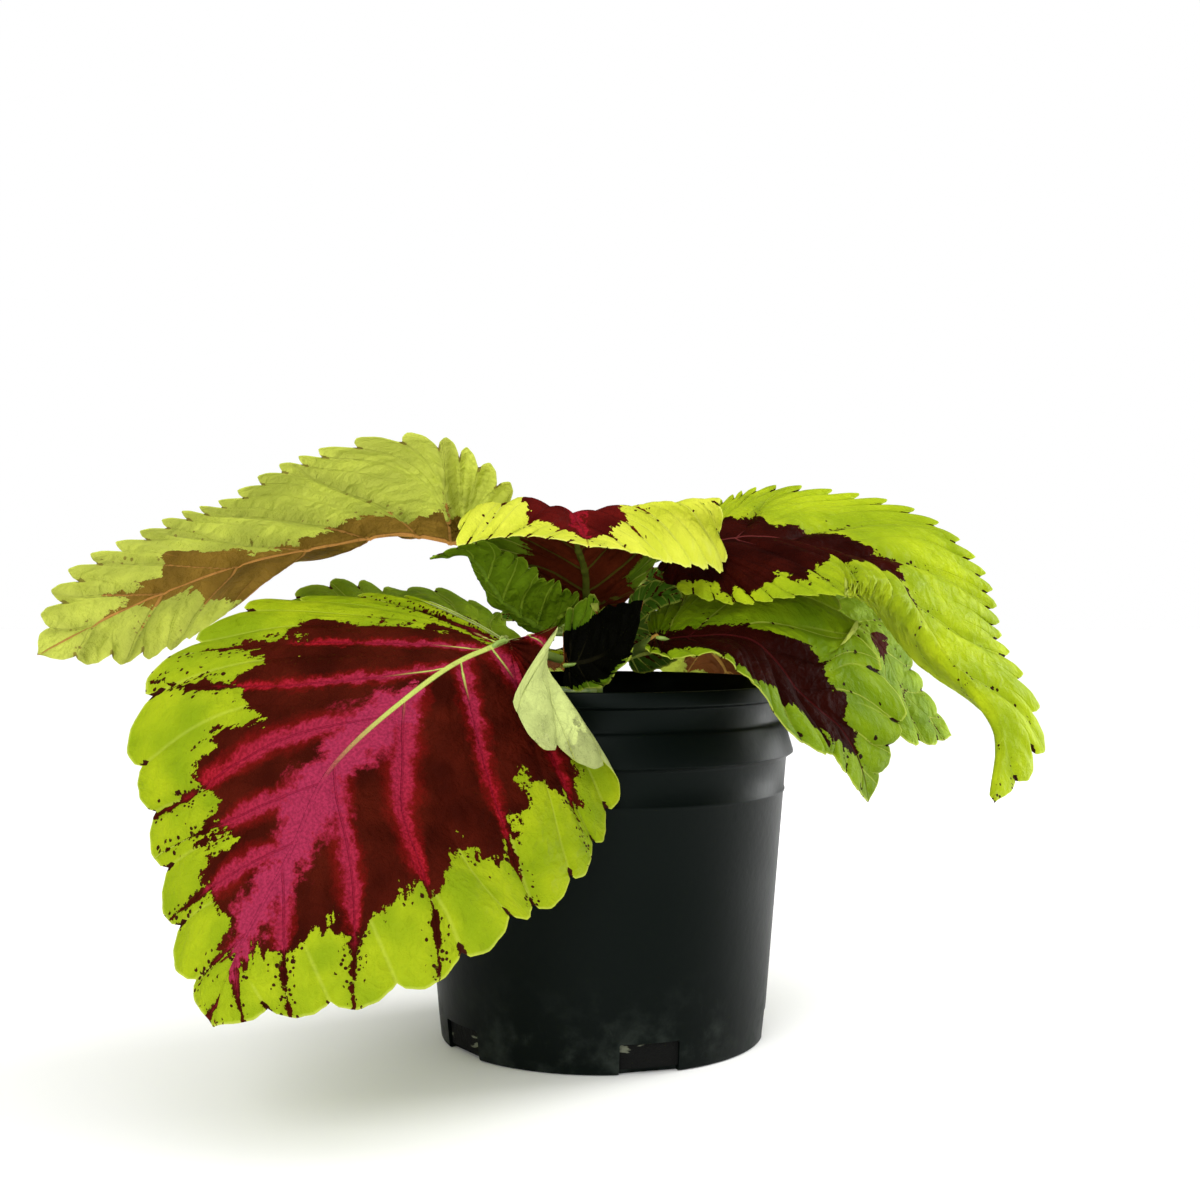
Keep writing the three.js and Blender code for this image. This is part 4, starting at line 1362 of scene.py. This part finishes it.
        # Painted shade: the vein net darkens the dark centre of the underside.
        for key, much, tint in (("Net", 0.4, dim), ("Vein", 0.7, look.under_rib)):
            dark = g.mix(mark[key] * much, dark, tint)
        colour = g.mix(mark["Centre"], lime, dark)
        colour = g.mix(mark["Specks"] * 0.7, colour, dim)
        colour = g.mix(mark["Rib"], colour, look.under_rib)
        g.put(shader.inputs["Roughness"], mark["Clouds"] * 0.15 + 0.55)
        self.finish(g, colour, mark["Centre"], shader, g.bump(mark["Height"], 0.0012, 0.8))
        return material


@dataclass(frozen=True)
class StalkFinish:
    """Soft green finish of the stem and the leaf stalks."""

    dark: Colour = srgb(98, 132, 44)
    light: Colour = srgb(160, 184, 84)

    def material(self) -> bpy.types.Material:
        """Pale green with fine lengthwise streaks.

        Returns:
            The material.
        """
        material, g, shader = new_material("stalk_green")
        where = g.places()
        colour = g.mix(g.smooth(g.noise(where, 90, 3), 0.3, 0.7), self.dark, self.light)
        g.fill(shader, Base_Color=colour, Roughness=0.5, Normal=g.bump(g.noise(where, 700, 2), 0.0003))
        return material


@dataclass(frozen=True)
class PotFinish:
    """Black nursery pot plastic, dusty low down."""

    black: Colour = srgb(4, 8, 6)
    dust: Colour = srgb(58, 64, 58)
    tint: Colour = (0.86, 1.0, 0.94, 1.0)

    def material(self) -> bpy.types.Material:
        """Semi-gloss greenish black with dust and scuffs near the foot.

        Returns:
            The material.
        """
        material, g, shader = new_material("pot_plastic")
        where = g.places()
        low = 1.0 - g.smooth(g.part(where, 2), 0.0, 0.045)
        dust = low * g.smooth(g.noise(where, 55, 5, 0.65), 0.45, 0.75)
        scuff = g.smooth(g.noise(g.stretch(where, (1.0, 1.0, 0.25)), 420, 4, 0.7), 0.6, 0.78)
        dust = (dust + scuff * low * 0.6).least(1.0)
        g.fill(
            shader, Base_Color=g.mix(dust * 0.45, self.black, self.dust),
            Roughness=g.noise(where, 24, 3) * 0.16 + (dust * 0.3 + 0.34), Specular_IOR_Level=0.07,
            Specular_Tint=self.tint, Normal=g.bump(g.noise(where, 260, 3), 0.0004, 0.25),
        )
        return material


@dataclass(frozen=True)
class SoilFinish:
    """Potting mix of peat and bark."""

    name: str
    light: Colour
    dark: Colour
    painted_slot_shade: Colour = srgb(8, 9, 7)
    root: Colour = srgb(120, 124, 104)

    def material(self) -> bpy.types.Material:
        """Rough and grainy, without gloss, and near black at the foot as painted shade in the slots, with
        pale roots.

        Returns:
            The material.
        """
        material, g, shader = new_material(self.name)
        where = g.places()
        grain = g.noise(where, 380, 5, 0.7)
        colour = g.mix(g.smooth(grain, 0.35, 0.7), self.dark, self.light)
        # Painted shade: low down, where the mix shows through the drain slots, it turns near black as the
        # shade inside the pot; the pale roots there are their own colour.
        foot = 1.0 - g.smooth(g.part(where, 2), 0.012, 0.03)
        roots = g.smooth(g.noise(g.stretch(where, (0.5, 0.5, 1.6)), 190, 3, 0.5), 0.6, 0.66)
        colour = g.mix(foot, colour, g.mix(roots * 0.6, self.painted_slot_shade, self.root))
        relief = g.bump(grain, 0.0012)
        g.fill(shader, Base_Color=colour, Roughness=0.95, Specular_IOR_Level=0.2, Normal=relief)
        return material


@dataclass
class Leaf:
    """One leaf: its blade with the midrib and veins underneath, and its stalk.

    Sheet is the thickness between the veins. Order times apart, in metres, is how far the leaf's pattern
    lies from that of the first leaf, so that no two patterns are alike.
    """

    form: LeafForm
    colours: LeafColours
    order: int
    sheet: float = 0.5
    rib_depth: float = 2.0
    rib_width: float = 1.3
    vein_depth: float = 0.7
    vein_width: float = 0.9
    groove_width: float = 1.8
    dome_width: float = 6.0
    apart: float = 1.37

    def build(self) -> bpy.types.Object:
        """Builds the blade and the stalk as one object."""
        return join(self.blade(), self.stalk())

    def side_veins(
        self, x: np.ndarray, y: np.ndarray, hand: np.ndarray, length: float
    ) -> dict[str, np.ndarray]:
        """How each point of the flat leaf lies to the side veins.

        Args:
            x: Along the leaf, in millimetres.
            y: Across it.
            hand: -1 for the left half and 1 for the right one.
            length: Length of the midrib.

        Returns:
            phase, a whole number on each vein, the lane between two veins, the distance away from the
            nearest vein, the half width of its pink band and how far its dark streak still goes on.
        """
        made = {key: np.zeros_like(x) for key in ("phase", "lane", "away", "pink", "streak")}
        for half, veins in zip((-1, 1), self.colours.veins):
            start, slope, bend, pink, pink_end, streak = (
                np.array([getattr(v, key) for v in veins], float)[:, None]
                for key in ("start", "slope", "bend", "pink", "pink_end", "streak")
            )
            here = np.nonzero(hand == half)[0]
            px, py = x[here][None], y[here][None]
            lines = start * length + slope * py + bend * py**2
            lines = np.maximum.accumulate(lines + np.arange(len(veins))[:, None] * LEAST_LANE, axis=0)
            gaps = np.maximum(np.diff(lines, axis=0), LEAST_LANE)
            phase = np.clip((px - lines[:-1]) / gaps, 0, 1).sum(0)
            before, after = np.minimum(0, px[0] - lines[0]), np.maximum(0, px[0] - lines[-1])
            phase += before / OUTER_LANE + after / OUTER_LANE
            between = np.clip(np.floor(phase).astype(int), 0, len(veins) - 2)
            nearest = np.clip(np.round(phase).astype(int), 0, len(veins) - 1)
            lean = 1 / np.sqrt(1 + (slope + 2 * bend * py) ** 2)
            row = np.arange(here.size)
            lane = gaps[between, row] * lean[nearest, row]
            outer = (phase < 0) | (phase > len(veins) - 1)
            lane = np.where(outer, OUTER_LANE * lean[nearest, row], lane)
            gone = py[0] / np.maximum(pink_end[nearest, 0], 1)
            made["phase"][here] = phase
            made["lane"][here] = lane
            made["away"][here] = np.abs(phase - np.round(phase)) * lane
            made["pink"][here] = pink[nearest, 0] * (1 - smoothstep(gone, 0.75, 1.05)) * (1 - 0.4 * gone)
            made["streak"][here] = streak[nearest, 0] - py[0]
        return made

    def blade(self) -> bpy.types.Object:
        """The blade as a shaped grid, thickened downward with its midrib and veins.

        Returns:
            The blade, with the number of its material on each face.
        """
        form, look = self.form, self.colours
        rows, columns = form.detail.value
        piece, shares = add_grid(form.node + "_living", 2 * columns, rows * form.margin_teeth)
        signed, t = shares[:, 0] * 2 - 1, shares[:, 1]
        hand = np.where(signed > 0, 1.0, -1.0)
        s = np.abs(signed) ** OUTWARD_POWER
        surface = Blade(form)
        flat = surface.flat(t, s, hand)
        x, y, reach, out = flat["x"], flat["y"], flat["reach"], flat["out"]
        share = x / surface.midrib.length
        marks = self.side_veins(x, y, hand, surface.midrib.length)
        away = marks["away"]
        groove = bell(away, self.groove_width) * smoothstep(y, 0, 4) * (1 - smoothstep(s, 0.8, 1.0))
        dome = (1 - bell(away, self.dome_width)) * smoothstep(y, 0, 12) * (1 - smoothstep(s, 0.7, 1.0))
        ripple = np.sin(math.pi * form.teeth * t * CRIMPS_A_TOOTH) ** 2
        ripple *= smoothstep(s, 0.3, 0.6) * (1 - smoothstep(s, 0.85, 1.0))
        relief = look.relief * (dome + 0.25 * ripple - 0.8 * groove) * np.minimum(1, reach / FULL_REACH)
        put_places(piece, surface.place(t, s, hand, relief))
        border = np.where(hand > 0, places_at(look.border[1], x), places_at(look.border[0], x))
        shift = self.order * self.apart
        put_map(piece, "veins", np.stack((form.crowded(t), (s * hand + 1) / 2), -1))
        put_map(piece, "flat", np.stack((x * MM + shift, hand * y * MM), -1))
        values = {
            "edge": (border - y) * MM, "spread": y * MM, "inset": (1 - s) * reach * MM, "share": share,
            "phase": marks["phase"], "lane": marks["lane"] * MM, "pink": marks["pink"] * MM,
            "streak": marks["streak"] * MM, "core": places_at(look.core, x) * MM,
        }
        for name, numbers in values.items():
            put_values(piece, name, numbers)
        spread = out * reach
        thick = self.sheet + self.rib_depth * (1 - 0.85 * np.clip(share, 0, 1)) * bell(spread, self.rib_width)
        thick += self.vein_depth * (1 - 0.7 * s) * bell(away, self.vein_width)
        thick -= 0.2 * smoothstep(s, 0.9, 1.0)
        most = self.sheet + self.rib_depth + self.vein_depth
        put_weights(piece, "thickness", thick / most)
        merge_doubles(piece)
        count = len(piece.data.polygons)
        apply_modifier(
            piece, "SOLIDIFY", thickness=most * MM, offset=-1.0, vertex_group="thickness",
            thickness_vertex_group=0.0, use_rim=True,
        )
        numbers = np.zeros(len(piece.data.polygons))
        numbers[count : 2 * count] = 1
        put_part(piece, numbers)
        return piece

    def stalk(self) -> bpy.types.Object:
        """The stalk from the stem into the foot of the blade, with a groove on top.

        Returns:
            The stalk, with the number of its material on each face.
        """
        form = self.form
        centre = np.array((STEM_FOOT[0], STEM_FOOT[1], form.height))
        away = unit((np.array(form.via[0], float) - centre) * (1, 1, 0))
        root = [centre + away * (stem_radius(form.height) + out) for out in (-STALK_SINK, 2.3)]
        rib = Midrib(form)
        inside = np.array([6.0])
        end = (rib.at(rib.places, inside) - 1.2 * rib.at(rib.up, inside))[0]
        path, _ = even_curve([*root, *form.via, form.rib[0], end], STALK_ROWS + 1)
        along = unit(np.gradient(path, axis=0))
        ups, sides = carried_frames(path, along, (0.02, 0.01, 1))
        piece, shares = add_grid(form.node + "_stalk", STALK_SIDES, STALK_ROWS)
        turn = shares[:, 0] * 2 * math.pi
        row = np.round(shares[:, 1] * STALK_ROWS).astype(int)
        flare = 1 + 0.45 * np.exp(-shares[:, 1] * 14)
        groove = 1 - 0.22 * bell(turn - math.pi, 0.55)
        slim = 1 - 0.6 * smoothstep(shares[:, 1], 0.78, 1.0)
        girth = (form.thick * flare * groove * slim)[:, None]
        ring = ups[row] * np.cos(turn)[:, None] + sides[row] * np.sin(turn)[:, None]
        put_places(piece, path[row] - girth * ring)
        merge_doubles(piece, outward=True)
        put_part(piece, np.full(len(piece.data.polygons), 2))
        return piece

    def dress(self, marks: bpy.types.NodeTree, green: bpy.types.Material) -> bpy.types.Object:
        """Builds the leaf and gives the blade its two sides' finishes and the stalk its green.

        Args:
            marks: Group of the pattern's masks.
            green: Finish of the stalk.

        Returns:
            The finished piece.
        """
        piece = self.build()
        finish = LeafFinish(self.form, self.colours, marks)
        for material in (finish.upper(), finish.under(), green):
            piece.data.materials.append(material)
        numbers = np.empty(len(piece.data.polygons), np.int32)
        piece.data.attributes["part"].data.foreach_get("value", numbers)
        piece.data.polygons.foreach_set("material_index", numbers)
        shade_smooth(piece, 65)
        return piece


@dataclass
class Stem:
    """Squarish upright stem with a swelling at each pair of stalks and the youngest leaves on top.

    A shoot has the name of its leaf, the height where its stalk leaves the stem, the foot and the tip of
    its midrib and half its width, in millimetres.
    """

    sides: int = 32
    rows: int = 60
    square: float = 0.06
    swell: float = 0.5 / 3
    swell_height: float = 2.4
    crown: float = 4.0
    young_order: int = 30
    shoot_order: int = 40
    shoots: tuple[tuple[str, float, Point, Point, float], ...] = (
        ("shoot_low", 161, (12, 16, 162), (38, 20, 164), 10),
        ("shoot_middle", 165, (7, 0, 170), (28, -3, 182), 8),
        ("shoot_top", 180, (12, 18, 192), (31, 24, 200), 8),
        ("shoot_left", 174, (-16, 18, 176), (-41, 24, 180), 6),
    )

    def build(self) -> bpy.types.Object:
        """The bar, shaped from a grid.

        Returns:
            The finished piece.
        """
        piece, shares = add_grid("stem_living", self.sides, self.rows)
        turn = shares[:, 0] * 2 * math.pi
        end = STEM_TOP_Z + self.crown
        z = STEM_FOOT[2] + shares[:, 1] * (end - STEM_FOOT[2])
        radius = stem_radius(z) * (1 - self.square * (1 + np.cos(4 * turn)))
        for form in LEAVES:
            radius += self.swell * bell(z - form.height, self.swell_height)
        radius = radius * np.sqrt(np.clip((end + 0.01 - z) / self.crown, 0, 1))
        radius = np.where(shares[:, 1] <= 0, 0, radius)
        places = np.stack((STEM_FOOT[0] + radius * np.cos(turn), STEM_FOOT[1] + radius * np.sin(turn), z), -1)
        put_places(piece, places)
        merge_doubles(piece, outward=True)
        shade_smooth(piece)
        return piece

    def young_leaf(self, side: int) -> LeafForm:
        """One of the two youngest leaves, still upright.

        Args:
            side: -1 for the left leaf and 1 for the right one.

        Returns:
            Its form.
        """
        x = STEM_FOOT[0] + side * 2.5
        return LeafForm(
            f"young_{'right' if side > 0 else 'left'}", 6,
            ((x - side, 8, 201), (x + side, 8, 206), (x + side * 2.6, 8, 212), (x + side * 3.2, 8, 217.5)),
            (-side, 0, 0.1), (5, 5), (0, 0, 0), ((35, 30, 20), (35, 30, 20)), ((10, 0, 0), (10, 0, 0)),
            (0.8, 0.8), (0.3, 0.3), 200, ((x, 8, 201),), 0.7, cut=0.7, wave=(0.2, 2, 0), detail=Detail.SMALL,
        )

    def shoot_leaf(self, name: str, height: float, foot: Point, tip: Point, half: float) -> LeafForm:
        """A small leaf of a side shoot, which stands in the shade behind the inner leaves.

        Args:
            name: Name of the leaf.
            height: Where its stalk leaves the stem.
            foot: Foot of its midrib.
            tip: Tip of its midrib.
            half: Half of its width.

        Returns:
            Its form.
        """
        root, end = np.array(foot, float), np.array(tip, float)
        arch = np.array((0, 0, 1.5))
        rib = (root, root + (end - root) * 0.35 + arch, root + (end - root) * 0.7 + arch, end)
        middle = (np.array((STEM_FOOT[0], STEM_FOOT[1], height)) + root) / 2
        return LeafForm(
            name, 8, tuple(tuple(map(float, place)) for place in rib), (0, -0.85, 0.5), (half, half),
            (0, 0, 0), ((8, 5, 0), (8, 5, 0)), ((0, 0, -10), (0, 0, -10)), (0.8, 0.8), (0.3, 0.3), height,
            (tuple(map(float, middle)),), 1.0, cut=1.6, wave=(0.5, 2, 0), detail=Detail.SMALL,
        )

    def leaves(self) -> list[Leaf]:
        """The two youngest leaves on top and the leaves of the side shoots.

        Returns:
            The leaves, not built yet.
        """
        young = [
            Leaf(self.young_leaf(side), SMALL, i, sheet=0.35, rib_depth=0.5, vein_depth=0.1)
            for i, side in enumerate((-1, 1), self.young_order)
        ]
        shoots = [
            Leaf(self.shoot_leaf(*shoot), SHOOT_IN_PAINTED_SHADE, i, rib_depth=0.8, vein_depth=0.2)
            for i, shoot in enumerate(self.shoots, self.shoot_order)
        ]
        return young + shoots


@dataclass
class Soil:
    """Potting mix: a lumpy top with bits of bark and perlite, and the sides seen through the slots.

    Foot, heel and shoulder are the radius and the height of a ring, in millimetres. Taper is how much
    the radius grows with the height, settled how far the edge has sunk, scatter the radius within which
    the bits lie, and bare the radius round the stem that has none.
    """

    foot: Pair = (68.6, 2.2)
    heel: Pair = (69.3, 11.0)
    shoulder: Pair = (75.8, 127.0)
    taper: float = 9 / 112
    top: float = 132.0
    rim: float = 75.4
    settled: float = 1.0
    scatter: float = 74.0
    bare: float = 7.0
    rings: int = 46
    sides: int = 120
    lump: float = 2.2

    def wall(self, z: float) -> Pair:
        """Radius of the soil at a height, with that height."""
        return self.heel[0] + self.taper * (z - self.heel[1]), z

    def body(self) -> bpy.types.Object:
        """The whole body of the mix, as rings from the foot up and then in to the stem.

        Returns:
            The finished piece.
        """
        walls = map(self.wall, (self.heel[1], 60, 118))
        side = [(0, self.foot[1]), self.foot, *walls, self.shoulder]
        surface = [(self.rim * (1 - i / self.rings), self.top) for i in range(self.rings + 1)]
        radius, height = np.array(side + surface).T
        piece, shares = add_grid("soil_mix", self.sides, len(radius) - 1)
        turn = shares[:, 0] * 2 * math.pi
        row = np.round(shares[:, 1] * (len(radius) - 1)).astype(int)
        places = np.stack((radius[row] * np.cos(turn), radius[row] * np.sin(turn), height[row]), -1)
        for place, step in zip(places, row):
            if step >= len(side):
                rough = noise.fractal(Vector(place) * 0.06, 0.6, 2.2, 5)
                place[2] += self.lump * rough - (self.settled if step == len(side) else 0)
        put_places(piece, places)
        merge_doubles(piece, outward=True)
        shade_smooth(piece, 60)
        return piece

    def crumbs(self, name: str, count: int, size: Pair, flat: float, seed: int) -> bpy.types.Object:
        """Bits of bark or perlite scattered over the top and joined in one piece.

        Args:
            name: Name of the piece.
            count: How many bits.
            size: Smallest and largest radius in millimetres.
            flat: Height of a bit as a share of its width.
            seed: Seed of the scatter.

        Returns:
            The piece.
        """
        draw = random.Random(seed)
        deselect()
        bpy.ops.mesh.primitive_ico_sphere_add(subdivisions=1, radius=1.0)
        piece = bpy.context.active_object
        piece.name = name
        ball = np.array([v.co[:] for v in piece.data.vertices])
        faces = np.array([f.vertices[:] for f in piece.data.polygons])
        places, corners = [], []
        for _ in range(count):
            radius = draw.uniform(*size)
            angle = draw.uniform(0, 2 * math.pi)
            off = min(self.scatter * math.sqrt(draw.uniform(0.02, 1)), self.scatter - radius)
            spin = Matrix.Rotation(draw.uniform(0, 2 * math.pi), 3, "Z")
            turn = spin @ Matrix.Rotation(draw.uniform(-0.5, 0.5), 3, "X")
            stretch = np.array((1.0, draw.uniform(0.45, 0.9), flat)) * radius
            dents = 1 + np.array([draw.uniform(-0.22, 0.22) for _ in ball])[:, None]
            shape = (ball * dents * stretch) @ np.array(turn).T
            height = self.top + draw.uniform(-0.4, 1.2)
            centre = np.array((off * math.cos(angle), off * math.sin(angle), height))
            if np.linalg.norm((centre - STEM_FOOT)[:2]) < self.bare + radius:
                continue
            corners.append(faces + len(places) * len(ball))
            places.append(shape + centre)
        mesh = bpy.data.meshes.new(name)
        mesh.from_pydata((np.concatenate(places) * MM).tolist(), [], np.concatenate(corners).tolist())
        piece.data = mesh
        shade_smooth(piece, 40)
        return piece


@dataclass
class Pot:
    """Round nursery pot with rim, band, collar, ring line and drain slots, in millimetres.

    The body tapers from the neck's radius to the heel's. The ring line has pairs of how far a point lies
    above its middle and how far it stands out. The first slot's direction is in degrees.
    """

    sides: int = 160
    base: float = 70.0
    heel: float = 71.0
    heel_z: float = 10.0
    neck: float = 80.2
    neck_z: float = 121.0
    wall: float = 1.6
    floor: float = 1.8
    ring_z: float = 107.0
    ring: Pairs = ((-1.2, 0.0), (-0.6, 0.35), (0.0, 0.5), (0.6, 0.35), (1.2, 0.0))
    collar_z: float = 123.0
    collar: float = 83.2
    ledge_z: float = 136.5
    band: float = 78.0
    rim_z: float = 146.5
    rim: float = 81.0
    height: float = 153.0
    slots: int = 5
    slot_first: float = -74.2
    slot_width: float = 25.0
    slot_height: float = 12.5
    slot_depth: float = 9.0
    slot_round: float = 0.8

    def body(self, z: float) -> float:
        """Outer radius of the tapering body at a height."""
        return self.heel + (self.neck - self.heel) * (z - self.heel_z) / (self.neck_z - self.heel_z)

    def profile(self) -> list[Pair]:
        """Radius and height of each ring, up the outside, over the rim and down the inside.

        Returns:
            One pair for each ring.
        """
        b, collar, ledge, rim = self.body, self.collar_z, self.ledge_z, self.rim_z
        line = [(b(self.ring_z + up) + out, self.ring_z + up) for up, out in self.ring]
        outside = [
            (self.base - 3, 0.0), (self.base - 1, 0.0), (self.base - 0.3, 0.3), (self.base, 1.0),
            (b(11), 11.0), (b(40), 40.0), (b(70), 70.0), *line,
            (b(collar - 2.4), collar - 2.4), (b(collar - 2) + 0.2, collar - 1.9),
            (self.collar - 0.7, collar - 0.35), (self.collar - 0.1, collar), (self.collar, collar + 0.6),
            (self.collar - 3.2, ledge - 2.0), (self.collar - 3.6, ledge - 1.0),
            (self.collar - 4.0, ledge - 0.4), (self.band + 0.5, ledge), (self.band + 0.15, ledge + 0.5),
            (self.band, ledge + 1.5), (self.band, rim - 1.4), (self.band + 0.3, rim - 0.8),
            (self.rim - 0.8, rim), (self.rim - 0.2, rim + 0.4), (self.rim, rim + 1.0),
            (self.rim, self.height - 1.2), (self.rim - 0.3, self.height - 0.35),
            (self.rim - 1.1, self.height), (self.rim - 2.0, self.height - 0.1),
            (self.rim - 2.6, self.height - 0.8),
        ]
        inside = [
            (self.band - self.wall, rim), (self.band - self.wall, ledge),
            (b(collar) - self.wall - 0.4, collar), (b(60) - self.wall, 60.0), (b(11) - self.wall, 11.0),
            (self.base - self.wall, self.floor),
        ]
        return outside + inside

    def build(self) -> bpy.types.Object:
        """Rings extruded one from another, closed at the foot, with the slots cut.

        Returns:
            The finished piece.
        """
        rings = self.profile()
        deselect()
        bpy.ops.mesh.primitive_circle_add(vertices=self.sides, radius=rings[0][0] * MM, fill_type="NGON")
        piece = bpy.context.active_object
        piece.name = "pot_shell"
        bpy.ops.object.mode_set(mode="EDIT")
        bpy.ops.mesh.select_all(action="SELECT")
        for (before, low), (after, high) in zip(rings, rings[1:]):
            bpy.ops.mesh.extrude_region_move(TRANSFORM_OT_translate={"value": (0, 0, (high - low) * MM)})
            k = after / before
            bpy.ops.transform.resize(value=(k, k, 1), center_override=(0, 0, high * MM))
        bpy.ops.object.mode_set(mode="OBJECT")
        self.close_foot(piece)
        merge_doubles(piece, outward=True)
        for i in range(self.slots):
            self.cut_slot(piece, math.radians(self.slot_first + 360 / self.slots * i))
        shade_smooth(piece, 40)
        return piece

    def close_foot(self, piece: bpy.types.Object) -> None:
        """Fills the open ring under the foot.

        Args:
            piece: The pot.
        """
        pick(piece)
        bpy.ops.object.mode_set(mode="EDIT")
        bpy.ops.mesh.select_all(action="DESELECT")
        bpy.ops.mesh.select_mode(type="EDGE")
        bpy.ops.mesh.select_non_manifold(extend=False)
        bpy.ops.mesh.edge_face_add()
        bpy.ops.mesh.select_mode(type="VERT")
        bpy.ops.object.mode_set(mode="OBJECT")

    def cut_slot(self, piece: bpy.types.Object, angle: float) -> None:
        """Cuts one drain slot out of the foot of the wall.

        Args:
            piece: The pot.
            angle: Direction of the slot, in radians.
        """
        deselect()
        bpy.ops.mesh.primitive_cube_add(size=1.0)
        cutter = bpy.context.active_object
        cutter.scale = (self.slot_depth * MM, self.slot_width * MM, (self.slot_height + 2) * MM)
        centre = Vector((self.base * MM, 0, (self.slot_height / 2 - 1) * MM))
        cutter.rotation_euler = (0, 0, angle)
        cutter.location = Matrix.Rotation(angle, 3, "Z") @ centre
        bpy.ops.object.transform_apply(location=True, rotation=True, scale=True)
        apply_modifier(cutter, "BEVEL", width=self.slot_round * MM, segments=3)
        apply_modifier(piece, "BOOLEAN", object=cutter, operation="DIFFERENCE", solver="EXACT")
        bpy.data.objects.remove(cutter)


@dataclass(frozen=True)
class SoftBox:
    """A flat lamp in metres and watts."""

    name: str
    place: Point
    target: Point
    size: Pair
    power: float

    def build(self) -> None:
        """Adds the lamp, which faces its target."""
        deselect()
        bpy.ops.object.light_add(type="AREA", location=self.place)
        lamp = bpy.context.active_object
        lamp.name = self.name
        lamp.data.shape = "RECTANGLE"
        lamp.data.size, lamp.data.size_y = self.size
        lamp.data.energy = self.power
        toward = Vector(self.target) - Vector(self.place)
        lamp.rotation_euler = toward.to_track_quat("-Z", "Y").to_euler()


@dataclass(frozen=True)
class FarLight:
    """A far and wide light, with its spread in degrees."""

    name: str
    place: Point
    spread: float
    power: float

    def build(self) -> None:
        """Adds the light, which shines from the place's direction."""
        deselect()
        bpy.ops.object.light_add(type="SUN", location=self.place)
        lamp = bpy.context.active_object
        lamp.name = self.name
        lamp.data.energy = self.power
        lamp.data.angle = math.radians(self.spread)
        lamp.rotation_euler = (-Vector(self.place)).to_track_quat("-Z", "Y").to_euler()


@dataclass
class Studio:
    """Plain pale floor, soft light and the camera of the photograph.

    Lengths are in metres. Surround is the strength of the white surround for what it lights, and
    mirrored the share of that which reflections lose.
    """

    eye: Point = (0.0, -0.753, 0.197)
    focal_px: float = 1720.0
    centre_px: Pair = (602.0, 580.0)
    image_px: float = 1200.0
    sensor_mm: float = 36.0
    nearest: float = 0.01
    floor_size: float = 12.0
    floor_z: float = -0.0002
    lights: tuple[FarLight | SoftBox, ...] = (
        FarLight("key", (-0.35, -1.0, 0.62), 38, 1.7),
        FarLight("top", (0.0, -0.1, 1.0), 80, 0.85),
        SoftBox("fill", (-0.3, -1.4, 0.12), (-0.1, 0, 0.2), (1.4, 0.5), 6),
        SoftBox("strip", (0.95, 0.42, 0.3), (0.05, 0, 0.08), (0.5, 0.8), 16),
    )
    surround: float = 0.72
    mirrored: float = 0.93
    paper: Colour = (0.93, 0.93, 0.925, 1)

    def floor(self) -> None:
        """A wide pale floor."""
        deselect()
        bpy.ops.mesh.primitive_plane_add(size=self.floor_size, location=(0, 0, self.floor_z))
        piece = bpy.context.active_object
        piece.name = "floor"
        material, g, shader = new_material("floor_paper")
        g.fill(shader, Base_Color=self.paper, Roughness=0.9)
        piece.data.materials.append(material)

    def light(self) -> None:
        """The lights and a white surround, which is dimmer for what it lights and reflects in."""
        for light in self.lights:
            light.build()
        world = bpy.data.worlds.new("surround")
        bpy.context.scene.world = world
        world.use_nodes = True
        g = Graph(world.node_tree)
        ray = g.node("LightPath").outputs
        seen, glossy = Num(g, ray["Is Camera Ray"]), Num(g, ray["Is Glossy Ray"])
        strength = seen * (1.0 - self.surround) + self.surround - glossy * (self.mirrored * self.surround)
        g.fill(world.node_tree.nodes["Background"], Color=(1, 1, 1, 1), Strength=strength)

    def camera(self) -> None:
        """The camera, level, at the height and distance that the pot's ellipses give."""
        data = bpy.data.cameras.new("camera")
        data.sensor_width = self.sensor_mm
        data.lens = self.sensor_mm * self.focal_px / self.image_px
        data.shift_x = -(self.centre_px[0] - self.image_px / 2) / self.image_px
        data.shift_y = (self.centre_px[1] - self.image_px / 2) / self.image_px
        data.clip_start = self.nearest
        camera = bpy.data.objects.new("camera", data)
        bpy.context.collection.objects.link(camera)
        camera.location = self.eye
        camera.rotation_euler = (math.pi / 2, 0, 0)
        bpy.context.scene.camera = camera
        bpy.context.scene.view_settings.view_transform = "Standard"

    def build(self) -> None:
        """Builds floor, light and camera."""
        self.floor()
        self.light()
        self.camera()


def add_soil() -> None:
    """The potting mix with its bark and perlite."""
    soil = Soil()
    for piece, finish, nodes in (
        (soil.body(), SoilFinish("soil_peat", srgb(58, 42, 30), srgb(24, 17, 12)), ("soil",)),
        (
            soil.crumbs("soil_bark", 420, (1.2, 4.2), 0.35, 5),
            SoilFinish("soil_bark", srgb(92, 62, 40), srgb(40, 27, 18)), (),
        ),
        (
            soil.crumbs("soil_perlite", 90, (0.8, 1.9), 0.8, 9),
            SoilFinish("soil_perlite", srgb(232, 230, 220), srgb(196, 190, 176)), (),
        ),
    ):
        piece.data.materials.append(finish.material())
        finish_piece(piece, "soil", *nodes)


def main() -> None:
    """Builds and dresses every piece in order, and reports each one."""
    logging.basicConfig(level=logging.INFO, format="%(name)s %(message)s")
    green = StalkFinish().material()
    marks = LeafMarks().build()

    pot = Pot().build()
    pot.data.materials.append(PotFinish().material())
    finish_piece(pot, "pot_plastic", "pot")
    add_soil()

    stem = Stem()
    bar = stem.build()
    bar.data.materials.append(green)
    finish_piece(bar, "stem", "stem")
    for leaf in stem.leaves():
        finish_piece(leaf.dress(marks, green), "stem")
    for order, form in enumerate(LEAVES):
        leaf = Leaf(form, COLOURS[form.node], order)
        finish_piece(leaf.dress(marks, green), "leaf", form.node)

    Studio().build()


if __name__ == "__main__":
    main()
